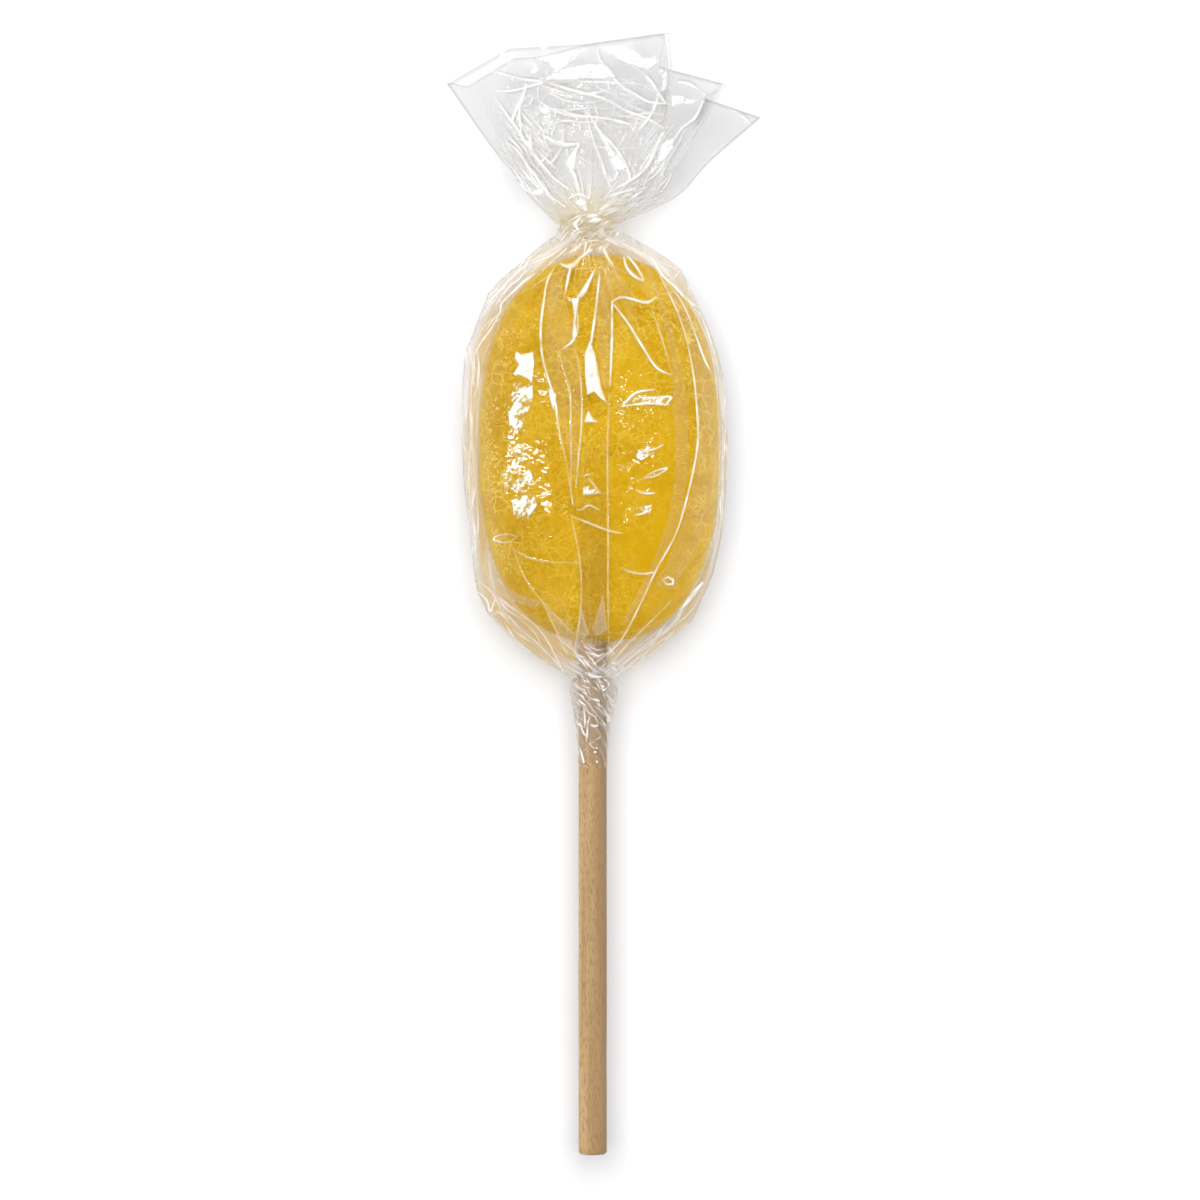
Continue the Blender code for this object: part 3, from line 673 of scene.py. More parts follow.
def corner_distance(x, y, corners):
    """Distance to the sides of a polygon, and where points are inside it."""
    inside = np.zeros(x.shape, bool)
    distance = np.full(x.shape, np.inf)
    for start, end in zip(corners, np.roll(corners, -1, axis=0)):
        _, away_x, away_y = from_segment(x, y, start, end)
        distance = np.minimum(distance, np.hypot(away_x, away_y))
        rise = end[1] - start[1]
        if rise != 0.0:
            crosses = (start[1] > y) != (end[1] > y)
            inside ^= crosses & (x < start[0] + (y - start[1]) / rise * (end[0] - start[0]))
    return distance, inside


def panel_milk(x, y, panels):
    """Milkiness of translucent panels with crisp sides that are slightly whiter."""
    milk = np.zeros_like(x)
    for strength, corners in panels.values():
        distance, inside = corner_distance(x, y, photo_path(corners))
        signed = np.where(inside, distance, -distance)
        rim = 0.5 * np.exp(-(signed / 0.25) ** 2)
        milk = np.maximum(milk, strength * (smooth((signed + 0.15) / 0.3) + rim * inside))
    return milk


def painted_glint(x, y, corners, streaks):
    """Painted highlight: the white of a glint inside some corners, from solid to broken up into slanting
    streaks and loops.
    """
    distance, inside = corner_distance(x, y, photo_path(corners))
    broken = slanted_noise(x, y, 1.9, 1.1, 63) + 0.9 * slanted_noise(x, y, 0.8, 0.4, 64)
    broken = broken + 0.5 * noise(x / 0.25, y / 0.25, 65)
    solid = smooth(1.0 - streaks * (0.75 - 1.7 * broken))
    loops = streaks ** 2 * np.exp(-((broken + 0.2) / 0.09) ** 2)
    return inside * smooth(distance / 0.12) * np.maximum(solid, loops)


def box_place(box):
    """The middle of a softbox in millimetres, from the angles at which the part sees it."""
    lean_x, lean_y = (math.tan(math.radians(angle)) for angle in box[:2])
    return Vector(LIGHT_AIM) + Vector((lean_x, lean_y, 1.0)).normalized() * LIGHT_DISTANCE


def camera_place():
    """The camera's place in millimetres, straight above the photograph's middle."""
    return Vector((*photo_mm((PHOTO_SIZE / 2, PHOTO_SIZE / 2)), MID_HEIGHT + CAMERA_DISTANCE))


def add_facet(x, y, z, box, corners):
    """Sets the film inside some corners on a plane that mirrors a softbox towards the camera."""
    corners = photo_path(corners)
    middle = Vector((*corners.mean(axis=0), MID_HEIGHT))
    normal = (box_place(box) - middle).normalized() + (camera_place() - middle).normalized()
    near = in_reach(x, y, corners)
    near_x = x[near]
    near_y = y[near]
    distance, inside = corner_distance(near_x, near_y, corners)
    plane = -(normal.x * near_x + normal.y * near_y) / normal.z
    if inside.any():
        plane += np.percentile((z[near] - plane)[inside], 97)
        plane += 0.014 * slanted_noise(near_x, near_y, 0.9, 0.4, 62)
        z[near] += inside * smooth(distance / 0.1) * (plane - z[near])


# Sheets


def unit(vectors):
    """Vectors of a grid, each at a length of 1."""
    return vectors / np.maximum(np.linalg.norm(vectors, axis=2, keepdims=True), 1e-12)


def grid_normals(points):
    """Unit normals of a grid of points, smooth across its whole sheet."""
    return unit(np.cross(np.gradient(points, axis=1), np.gradient(points, axis=0)))


def bend_strength(points):
    """How sharply the surface bends at each point of a grid, from 0 on a flat facet to 1 on a crease."""
    normal = grid_normals(points)
    turn = sum(np.linalg.norm(np.gradient(normal, axis=axis), axis=2) for axis in (0, 1))
    return np.clip((turn - 0.06) / 0.6, 0.0, 1.0)


def add_object(name, data):
    """A new object of the scene."""
    item = bpy.data.objects.new(name, data)
    bpy.context.scene.collection.objects.link(item)
    return item


def grid_piece(name, points, material, wrap=False, normals=None, **masks):
    """A smooth-shaded sheet from a grid of points in millimetres, closed round its columns if wrapped."""
    rows, columns = points.shape[:2]
    index = np.arange(rows * columns).reshape(rows, columns)
    if wrap:
        index = np.concatenate([index, index[:, :1]], axis=1)
    quads = np.stack([index[:-1, :-1], index[:-1, 1:], index[1:, 1:], index[1:, :-1]], axis=-1)
    mesh = bpy.data.meshes.new(name)
    mesh.from_pydata(points.reshape(-1, 3) * MM, [], quads.reshape(-1, 4))
    for mask, values in masks.items():
        attribute = mesh.attributes.new(mask, 'FLOAT', 'POINT')
        values = np.clip(values + np.zeros((rows, columns)), 0.0, 1.0)
        attribute.data.foreach_set("value", values.reshape(-1).astype(np.float32))
    mesh.shade_smooth()
    if normals is not None:
        mesh.normals_split_custom_set_from_vertices(normals.reshape(-1, 3))
    mesh.materials.append(material)
    return add_object(name, mesh)


# Materials


def colour(red, green, blue):
    return (red, green, blue, 1.0)


class Shader:
    """A new node material with short calls to add its nodes."""

    def __init__(self, name):
        self.material = bpy.data.materials.new(name)
        self.material.use_nodes = True
        self.tree = self.material.node_tree
        self.tree.nodes.clear()

    def node(self, kind, inputs=None, **settings):
        """Adds a node. An input is a value, or another node's socket that is linked to it."""
        node = self.tree.nodes.new(kind)
        for setting, value in settings.items():
            setattr(node, setting, value)
        for name, value in (inputs or {}).items():
            if isinstance(value, bpy.types.NodeSocket):
                self.tree.links.new(value, node.inputs[name])
            else:
                node.inputs[name].default_value = value
        return node

    def coordinates(self):
        return self.node("ShaderNodeTexCoord").outputs["Object"]

    def axes(self, vector):
        return self.node("ShaderNodeSeparateXYZ", {"Vector": vector}).outputs

    def mask(self, name):
        return self.node("ShaderNodeAttribute", attribute_name=name).outputs["Fac"]

    def math(self, operation, first, second=0.0):
        return self.node("ShaderNodeMath", {0: first, 1: second}, operation=operation).outputs["Value"]

    def product(self, first, second):
        return self.math('MULTIPLY', first, second)

    def aside(self, axis, middle):
        """Distance in metres along an axis from a place in millimetres."""
        return self.math('ABSOLUTE', self.math('SUBTRACT', axis, middle * MM))

    def moved(self, operation, first, second):
        """The sum or product of two vectors."""
        node = self.node("ShaderNodeVectorMath", {0: first, 1: second}, operation=operation)
        return node.outputs["Vector"]

    def stretched(self, scale):
        """The piece's coordinates, scaled along each axis."""
        inputs = {"Vector": self.coordinates(), "Scale": scale}
        return self.node("ShaderNodeMapping", inputs).outputs["Vector"]

    def ranged(self, value, low, high, to_low=0.0, to_high=1.0):
        inputs = {"Value": value, "From Min": low, "From Max": high, "To Min": to_low, "To Max": to_high}
        return self.node("ShaderNodeMapRange", inputs).outputs["Result"]

    def mixed(self, share, first, second):
        inputs = {"Factor": share, "A": first, "B": second}
        return self.node("ShaderNodeMix", inputs, data_type='RGBA').outputs["Result"]

    def speckle(self, scale, detail=3.0, distortion=0.0, place=None):
        inputs = {"Vector": place or self.coordinates(), "Scale": scale, "Detail": detail,
                  "Distortion": distortion}
        return self.node("ShaderNodeTexNoise", inputs).outputs["Fac"]

    def bumped(self, height, distance):
        inputs = {"Height": height, "Strength": 0.35, "Distance": distance}
        return self.node("ShaderNodeBump", inputs).outputs["Normal"]

    def diffuse(self, paint):
        return self.node("ShaderNodeBsdfDiffuse", {"Color": paint}).outputs["BSDF"]

    def blend(self, share, first, second):
        return self.node("ShaderNodeMixShader", {0: share, 1: first, 2: second}).outputs["Shader"]

    def finish(self, surface):
        self.node("ShaderNodeOutputMaterial", {"Surface": surface})
        return self.material


def film_material(name, clear_tone, mirror_least, glow_tone, faint_highlight_tone, highlight_tone):
    """Clear film: see-through with a glossy face, milky where it's doubled, with painted highlights on its
    creases and glints, faint to pale.

    Beside the candy it has a painted warm glow and tint for the light that the candy scatters, and painted
    shade darkens its tint.
    """
    shader = Shader(name)
    warm_tint = colour(0.975, 0.88, 0.65)
    shade_tint = colour(0.54, 0.515, 0.485)
    milk = shader.diffuse(colour(0.76, 0.70, 0.63))
    # Painted warm tint beside the candy, then painted shade that darkens the tint
    tint = shader.mixed(shader.mask("warm"), colour(*clear_tone), warm_tint)
    tint = shader.mixed(shader.product(shader.mask("shade"), 0.6), tint, shade_tint)
    clear = shader.node("ShaderNodeBsdfTransparent", {"Color": tint}).outputs["BSDF"]
    # Painted highlight: a white diffuse, faint over the candy and whiter beside it
    whiteness = shader.math('MAXIMUM', shader.mask("pale"), shader.mask("beside"))
    pale = shader.diffuse(shader.mixed(whiteness, colour(*faint_highlight_tone), colour(*highlight_tone)))
    # Painted warm glow for the light that the candy scatters
    glow = shader.diffuse(colour(*glow_tone))
    gloss = shader.node("ShaderNodeBsdfGlossy", {"Color": colour(1.0, 1.0, 1.0), "Roughness": 0.03})
    facing = shader.node("ShaderNodeLayerWeight", {"Blend": 0.5}).outputs["Facing"]
    mirror = shader.ranged(shader.math('POWER', facing, 4.0), 0.0, 1.0, mirror_least, 0.9)
    film = shader.blend(shader.product(shader.mask("warm"), 0.5), clear, glow)
    film = shader.blend(shader.mask("milk"), film, milk)
    film = shader.blend(shader.mask("pale"), film, pale)
    return shader.finish(shader.blend(mirror, film, gloss.outputs["BSDF"]))


def candy_scribble(shader, place):
    """Fine pale scribbles of the candy: bent outlines of cells, contour lines in patches, and grain."""
    wander = shader.node("ShaderNodeTexNoise", {"Vector": place, "Scale": 500.0, "Detail": 2.0})
    shift = shader.moved('MULTIPLY', wander.outputs["Color"], (0.0014, 0.0014, 0.0014))
    inputs = {"Vector": shader.moved('ADD', place, shift), "Scale": 560.0}
    cells = shader.node("ShaderNodeTexVoronoi", inputs, feature='DISTANCE_TO_EDGE').outputs["Distance"]
    outlines = shader.product(shader.ranged(cells, 0.0, 0.08, 0.4, 0.0),
                              shader.ranged(shader.speckle(230.0, 2.0), 0.42, 0.6))
    contours = shader.math('PINGPONG', shader.product(shader.speckle(330.0, 2.0, 0.6), 11.0), 0.5)
    contours = shader.product(shader.ranged(contours, 0.0, 0.14, 0.55, 0.0),
                              shader.ranged(shader.speckle(170.0, 3.0, 0.3), 0.43, 0.57, 0.1, 1.0))
    grain = shader.product(shader.ranged(shader.speckle(2400.0, 2.0), 0.56, 0.7, 0.0, 0.7),
                           shader.ranged(shader.speckle(200.0, 3.0, 0.5), 0.46, 0.6))
    return shader.math('MAXIMUM', shader.math('MAXIMUM', outlines, contours), grain)


def candy_material():
    """Golden hard candy: clouded, with fine pale scribbles, deeper at lower right and over the stick, and
    with painted light that brightens it where it faces sideways.
    """
    shader = Shader("candy_gold")
    place = shader.coordinates()
    x, y, _ = shader.axes(place)
    upward = shader.axes(shader.node("ShaderNodeNewGeometry").outputs["Normal"])["Z"]
    clouds = shader.ranged(shader.speckle(140.0, 4.0, 0.4), 0.35, 0.68)
    mottle = shader.ranged(shader.speckle(800.0, 5.0, 1.2), 0.4, 0.64, 0.0, 0.5)
    scribble = candy_scribble(shader, place)
    lower_right = shader.product(shader.ranged(x, -0.003, 0.009, 0.0, 0.8),
                                 shader.ranged(y, 0.012, 0.034, 1.0, 0.0))
    over_stick = shader.product(shader.ranged(shader.aside(x, STICK_X), 0.0017, 0.0022, 0.38, 0.0),
                                shader.ranged(y, 0.006, 0.023, 1.0, 0.0))
    sides = shader.product(shader.ranged(shader.aside(x, CANDY_X), 0.0095, 0.0135),
                           shader.ranged(upward, 0.0, 0.75, 0.15, 1.0))
    base = colour(0.55, 0.305, 0.002)
    for share, tone in (
        (clouds, (0.72, 0.435, 0.006)),
        (mottle, (0.80, 0.53, 0.03)),
        (scribble, (0.96, 0.75, 0.13)),
        (shader.ranged(x, -0.018, -0.004, 0.4, 0.0), (0.55, 0.32, 0.008)),
        (lower_right, (0.72, 0.43, 0.0)),
        (over_stick, (0.42, 0.22, 0.02)),
        # Painted light: brighter where the surface faces sideways or down, away from the lamps above
        (shader.ranged(upward, 0.1, 0.75, 0.8, 0.0), (0.98, 0.66, 0.01)),
        (shader.product(sides, shader.ranged(shader.speckle(420.0, 3.0, 0.9), 0.48, 0.58, 0.0, 0.6)),
         (0.58, 0.33, 0.004)),
        (shader.product(sides, scribble), (1.0, 0.82, 0.25)),
    ):
        base = shader.mixed(share, base, colour(*tone))
    surface = shader.node("ShaderNodeBsdfPrincipled", {
        "Base Color": base, "Roughness": 0.3, "Specular IOR Level": 0.12, "Subsurface Weight": 0.5,
        "Subsurface Radius": (0.003, 0.0018, 0.0003), "Subsurface Scale": 1.0,
        "Normal": shader.bumped(shader.math('ADD', mottle, scribble), 0.00015)})
    return shader.finish(surface.outputs["BSDF"])


def wood_material():
    """Light dowel wood with long brown grain streaks and short flecks along Y, and painted shade that
    darkens its +X side.
    """
    shader = Shader("dowel_wood")
    streaks = shader.speckle(1.0, 3.0, 0.3, shader.stretched((700.0, 25.0, 700.0)))
    flecks = shader.speckle(1.0, 4.0, 0.0, shader.stretched((5200.0, 900.0, 5200.0)))
    side = shader.axes(shader.coordinates())["X"]
    base = colour(0.47, 0.29, 0.125)
    for share, tone in (
        (shader.ranged(streaks, 0.35, 0.65), (0.70, 0.48, 0.24)),
        (shader.ranged(flecks, 0.5, 0.66, 0.0, 0.65), (0.27, 0.15, 0.06)),
        # Painted shade: darker towards the stick's +X side
        (shader.ranged(side, (STICK_X - 1.8) * MM, (STICK_X + 1.5) * MM, 0.0, 0.8), (0.28, 0.17, 0.08)),
    ):
        base = shader.mixed(share, base, colour(*tone))
    surface = shader.node("ShaderNodeBsdfPrincipled", {
        "Base Color": base, "Roughness": 0.62, "Specular IOR Level": 0.3,
        "Normal": shader.bumped(flecks, 0.0001)})
    return shader.finish(surface.outputs["BSDF"])


def floor_material():
    shader = Shader("pale_floor")
    return shader.finish(shader.diffuse(colour(0.92, 0.927, 0.942)))


# Film


def candy_depth(x, y, margin=0.0):
    """How far a point of the plan is from the candy's middle: 1 on its outline, swollen by a margin."""
    across = (np.abs(x - CANDY_X) / (CANDY_HALF[0] + margin)) ** CANDY_POWER
    along = (np.abs(y - CANDY_Y) / (CANDY_HALF[1] + margin)) ** CANDY_POWER
    return across + along


def candy_height(x, y, margin):
    """Height of the candy's surface over its middle plane, swollen by a margin; zero beside the candy."""
    room = np.maximum(1.0 - candy_depth(x, y, margin), 0.0)
    return (CANDY_HALF[2] + margin) * room ** (1.0 / CANDY_POWER)


def pocket_profile(across, to_end, half_thickness):
    """Height of the film over the middle plane: round in the gathers, a lens with thin wings between."""
    round_height = np.sqrt(np.maximum(1.0 - across ** 2, 0.0))
    lens_height = 1.0 - np.abs(across) ** 2.4
    share = smooth(to_end / 9.0)
    return half_thickness * (round_height * (1.0 - share) + lens_height * share)


def taut(x, height):
    """Height of a film that is stretched over each row's section, from side to side."""
    result = np.empty_like(height)
    for row, section in enumerate(zip(x, height)):
        hull = []
        for point in zip(*section):
            while len(hull) > 1 and ((hull[-1][0] - hull[-2][0]) * (point[1] - hull[-2][1])
                                     >= (hull[-1][1] - hull[-2][1]) * (point[0] - hull[-2][0])):
                hull.pop()
            hull.append(point)
        result[row] = np.interp(section[0], *zip(*hull))
    return result


def outline_x(outline, along):
    """X of one side of the film's outline at places along Y."""
    corners = photo_path(reversed(outline))
    return np.interp(along, corners[:, 1], corners[:, 0])[:, None]


def body_sheet(columns, rows, seed):
    """The smooth film round the candy, with how far each point is from its edge, ends and the candy."""
    thickness = np.array(BODY_THICKNESS)
    along = np.linspace(thickness[0, 0], thickness[-1, 0], rows)
    step = np.linspace(-1.0, 1.0, columns)
    across = (0.7 * step + 0.3 * np.sin(step * math.pi / 2.0))[None, :]
    left = outline_x(LEFT_OUTLINE, along)
    right = outline_x(RIGHT_OUTLINE, along)
    half_width = (right - left) / 2.0
    half_thickness = curve_through(thickness[:, 0], thickness[:, 1], along)[:, None]
    to_end = np.minimum(along - along[0], along[-1] - along)[:, None]
    x = (left + right) / 2.0 + half_width * across
    y = along[:, None] + 0.0 * across
    height = pocket_profile(across, to_end, half_thickness)
    height = taut(x, np.maximum(height, candy_height(x, y, CANDY_MARGIN)))
    edge = (1.0 - np.abs(across)) * half_width
    depth = candy_depth(x, y)
    return SimpleNamespace(
        x=x, y=y, across=across, height=height, edge=edge, to_end=to_end,
        away=smooth(to_end / 2.0),
        margin=smooth((depth - 0.985) / 0.03),
        outside=np.maximum(depth - 1.0, 0.0) / (0.21 + 0.14 * smooth((4.0 - y) / 8.0)),
        gather=(1.0 - smooth(to_end / 5.0)) * (0.6 + 0.4 * noise(x / 0.9, y / 1.6, seed + 4)),
        strands=noise(edge / 0.55 + 0.5 * noise(x / 5.0, y / 5.0, seed + 6), y / 9.0, seed + 7))


def body_crumple(sheet, seed):
    """How far pleats and crumples lift the body's film off its smooth sheet."""
    x, y = sheet.x, sheet.y
    near_end = 1.0 - smooth(sheet.to_end / 13.0)
    turn = np.arccos(np.clip(sheet.across, -1, 1)) / math.pi
    pleats = np.abs(((turn * 9.0 + 0.25 * noise(turn * 7.0, y * 0.1, 5)) % 1.0) * 2.0 - 1.0)
    coarse = crumpled(x, y, seed, 12)
    fine = crumpled(0.45 * x, y, seed + 1, 26)
    bent_x = x + 0.6 * noise(x / 1.4, y / 1.4, seed + 2)
    bent_y = y + 0.6 * noise(x / 1.4, y / 1.4, seed + 3)
    wrinkles = slanted_noise(bent_x, bent_y, 1.8, 1.1, seed + 8)
    wrinkles = wrinkles + 0.4 * noise(bent_x / 0.55, bent_y / 0.45, seed + 9)
    patch = smooth(0.5 + 0.9 * noise(x / 5.0, y / 5.0, seed + 5))
    lift = 0.4 * near_end * pleats + (0.02 + 0.06 * near_end + 0.05 * sheet.margin) * coarse
    lift = lift + ((0.05 + 0.1 * sheet.margin) * fine + 0.02 * wrinkles) * (0.4 + 0.6 * patch)
    lift = lift + 0.002 * noise(x / 0.35, y / 0.35, seed + 12)
    return np.maximum(lift * sheet.away, -0.05)


def body_masks(sheet, seed):
    """Masks that both sides of the body's film have: milk and white wisps in the gathers, painted shade
    along the edges, and a painted warm glow beside the candy.
    """
    x, y, margin = sheet.x, sheet.y, sheet.margin
    wisps = smooth(0.5 + 1.2 * noise(x / 0.8 + 0.5 * y, y / 1.3, seed + 10))
    warm = margin * np.exp(-sheet.outside ** 2) * (0.3 + 0.7 * smooth(0.5 - 1.3 * sheet.strands))
    return {
        "milk": 0.3 * sheet.gather * wisps,
        "pale": 0.35 * sheet.gather * margin * wisps,
        "shade": 0.5 * (1.0 - smooth(sheet.edge / 0.3)) + 0.04 * margin,
        "warm": warm * (1.0 - 0.35 * np.tanh((x - CANDY_X) / 5.0)),
        "beside": margin,
    }


def front_creases(sheet):
    """Ridge height, painted highlight line and painted shade line of the creases of the body's front."""
    found = [*photo_creases(BODY_CREASES), *gather_creases(TOP_GATHER, 7),
             *gather_creases(BOTTOM_GATHER, 8), *strewn_creases(FOOT_WRINKLES, 9)]
    strewn = crease_masks(sheet.x, sheet.y, strewn_over(WING_STREWN, 40), 18)
    return np.maximum(crease_masks(sheet.x, sheet.y, found, 17), strewn * sheet.margin)


def front_masks(sheet, masks, folds, line, dark):
    """The masks with what only the front shows: painted highlights of creases, folds and glints, painted
    shade and warm glow on the wings, and painted shade over the stick's root.
    """
    x, y, margin = sheet.x, sheet.y, sheet.margin
    # Painted shade and warm glow on parts of the wings, and painted shade over the stick's root and in its
    # ring
    lower_left = smooth((-4.0 - x) / 4.0) * smooth((8.0 - y) / 8.0) * margin
    upper_left = smooth((-8.0 - x) / 4.0) * smooth((y - 33.0) / 6.0) * margin
    strip = smooth((-10.0 - x) / 4.0) * smooth((y - 6.0) / 6.0) * margin
    strip = strip * np.exp(-(sheet.outside / 0.45) ** 2)
    high = smooth((y - 36.0) / 6.0) * margin
    over_stick = smooth((2.6 - np.abs(x - STICK_X)) / 0.6) * smooth(-y / 3.0) * margin
    ring_x, ring_y = photo_mm(STICK_RING)
    ring = 0.9 * smooth(1.4 - np.hypot((x - ring_x) / 1.4, (y - ring_y) / 0.5))
    outer = 0.4 * margin * (1.0 - smooth(sheet.outside - 1.2))
    outer = outer + 0.07 * (1.0 - margin) * smooth((6.0 - sheet.edge) / 2.5)
    outer = outer * (1.0 - 0.6 * np.minimum(lower_left + upper_left + strip, 1.0))
    # Painted highlights of the folds, creases, wing strands, facets and glints
    whites = [masks["pale"], 0.13 * folds, 0.95 * line, outer * smooth(1.6 * sheet.strands - 0.2)]
    whites += [0.88 * painted_glint(x, y, corners, streaks=0.1) for _, corners in BODY_FACETS.values()]
    whites += [0.9 * painted_glint(x, y, corners, streaks=1.0) for corners in BODY_GLINTS]
    # Painted shade: dark crease lines, the ring, and the wing and stick patches
    shade = np.maximum.reduce([masks["shade"], ring, (0.3 + 0.6 * sheet.gather) * dark * margin])
    shade = shade + 0.45 * strip + 0.3 * lower_left + 0.2 * upper_left + 0.1 * high + 0.25 * over_stick
    warm = np.maximum(masks["warm"], strip) + 0.3 * lower_left
    return {
        "milk": np.maximum(masks["milk"], panel_milk(x, y, BODY_PANELS)),
        "pale": np.maximum.reduce(whites),
        "shade": shade,
        "warm": warm * (1.0 - 0.85 * over_stick) * (1.0 - 0.25 * high),
        "beside": margin,
    }


def body_film(side, columns, rows):
    """One side of the film round the candy, from the lower gather to the neck, and its masks."""
    seed = 11 if side > 0 else 23
    sheet = body_sheet(columns, rows, seed)
    x, y = sheet.x, sheet.y
    lift = body_crumple(sheet, seed)
    masks = body_masks(sheet, seed)
    if side > 0:
        folds = np.maximum(gather_folds(x, y, TOP_GATHER, 31), 0.6 * gather_folds(x, y, BOTTOM_GATHER, 33))
        ridge, line, dark = front_creases(sheet)
        lift = (lift + 0.06 * folds * sheet.away) * (1.0 - 0.5 * smooth(ridge / 0.1)) + ridge * sheet.away
        masks = front_masks(sheet, masks, folds, line, dark)
    z = MID_HEIGHT + side * (sheet.height + lift * smooth(sheet.edge / 0.5))
    if side > 0:
        for box, corners in BODY_FACETS.values():
            add_facet(x, y, z, box, corners)
    else:
        z = np.maximum(z, 0.05)
    return np.stack([x, y, z], axis=-1), masks


def tube(stations, rows, creases, depth, twist, slant, seed):
    """A twisted tube of film, round its whole section, with pleats, slanted facets and creases in front."""
    table = np.array(stations)
    along = np.linspace(table[0, 0], table[-1, 0], rows)
    shape = curve_through(table[:, 0], table[:, 1:], along)
    left, right, half_thickness = shape[:, 0:1], shape[:, 1:2], shape[:, 2:3]
    half_width = (right - left) / 2.0
    angle = np.linspace(math.pi, -math.pi, TUBE_COLUMNS, endpoint=False)[None, :]
    turn = TUBE_PLEATS * angle / (2.0 * math.pi) + twist * along[:, None]
    turn = turn + 0.5 * noise(3.0 * np.cos(angle) + 2.0 * np.sin(angle), along[:, None] * 0.6, seed)
    ridge = np.abs((turn % 1.0) * 2.0 - 1.0)
    plan_x = half_width * np.cos(angle)
    plan_y = along[:, None] + 0.0 * angle
    slant_along, slant_across = turned(plan_x, plan_y, -math.radians(slant))
    facets = np.clip(crumpled(0.3 * slant_along, slant_across, seed + 1, 40), -1.0, 1.0)
    reach = depth * (0.45 * ridge + 0.55 * facets - 0.6)
    x = (left + right) / 2.0 + (half_width + reach) * np.cos(angle)
    front = smooth(3.0 * np.sin(angle))
    found = [*photo_creases(creases[0]), *strewn_creases(creases[1], seed + 2)]
    crest, line, dark = crease_masks(x, plan_y, found, seed + 3)
    z = MID_HEIGHT + (half_thickness + reach) * np.sin(angle) + crest * front
    points = np.stack([x, plan_y, z], axis=-1)
    gathered = 0.15 + 0.85 * smooth((along - along[0]) / 9.0)[:, None]
    # Painted highlights on bends and creases, painted shade in the pleats' valleys and beside creases, and
    # a painted warm glow that grows towards the neck
    return points, {
        "pale": np.maximum(0.25 * bend_strength(points) * gathered, line * front),
        "milk": 0.08 + 0.06 * gathered,
        "shade": (0.3 + 0.75 * smooth((0.4 - ridge) / 0.4)) * gathered + 0.9 * dark * front,
        "warm": 0.08 + 0.3 * smooth(along / 30.0)[:, None],
    }


def fan_middle(share_across, share_out):
    """The middle surface of the fan by share across its folds and share out from neck to mouth."""
    lines = np.array(list(FOLD_LINES.values()))
    knots = np.linspace(0.0, 1.0, lines.shape[1])
    along = curve_through(knots, lines.transpose(1, 0, 2), share_out)
    points = np.empty((len(share_out), len(share_across), 3))
    for axis in range(3):
        for row in range(len(share_out)):
            points[row, :, axis] = np.interp(share_across, FOLD_SHARES, along[row, :, axis])
    points[..., 2] += MID_HEIGHT
    return points


def fan_sheet(side, across, out):
    """The fan's smooth middle surface, shorter at the left of the front's mouth, and its normals."""
    middle = fan_middle(across, out)
    if side > 0:
        short = 0.06 * smooth(np.minimum(across / 0.05, (0.45 - across) / 0.2))
        for column, share in enumerate(short):
            for axis in range(3):
                line = middle[:, column, axis]
                middle[:, column, axis] = np.interp(out * (1.0 - share), out, line)
    normal = np.cross(np.gradient(middle, axis=1), np.gradient(middle, axis=0))
    normal[..., 1] = 0.0
    return middle, unit(normal)


def panel_columns(across, panel):
    """Which of the fan's columns lie on a panel."""
    start, end = FAN_PANELS[panel]
    return (across >= start) & (across <= end)


def fan_creases(x, y, across, side, seed):
    """Ridge height, painted highlight line and painted shade line of the fan's creases. Each panel has its
    own ones too.
    """
    spread = [*gather_creases(FAN_GATHER, seed + 3), *strewn_over(FAN_BUNDLES, seed + 4)]
    masks = crease_masks(x, y, spread, seed + 6)
    for panel in FAN_PANELS:
        found = [*photo_creases(FAN_CREASES[panel])] if side > 0 else []
        if panel == "A":
            found += strewn_over(FAN_STREWN, seed + 7)
        on = panel_columns(across, panel)
        masks[:, :, on] = np.maximum(masks[:, :, on], crease_masks(x[:, on], y[:, on], found, 5))
    return masks


def fan_glints(points, x, y, across):
    """Sets each panel's facets on planes that mirror the softboxes, and gives their painted white
    highlight.
    """
    white = np.zeros_like(x)
    for panel, facets in FAN_FACETS.items():
        on = panel_columns(across, panel)
        height = points[:, on, 2]
        for box, corners in facets.values():
            add_facet(x[:, on], y[:, on], height, box, corners)
            white = np.maximum(white, 0.85 * on * painted_glint(x, y, corners, streaks=0.35))
        points[:, on, 2] = height
    return white


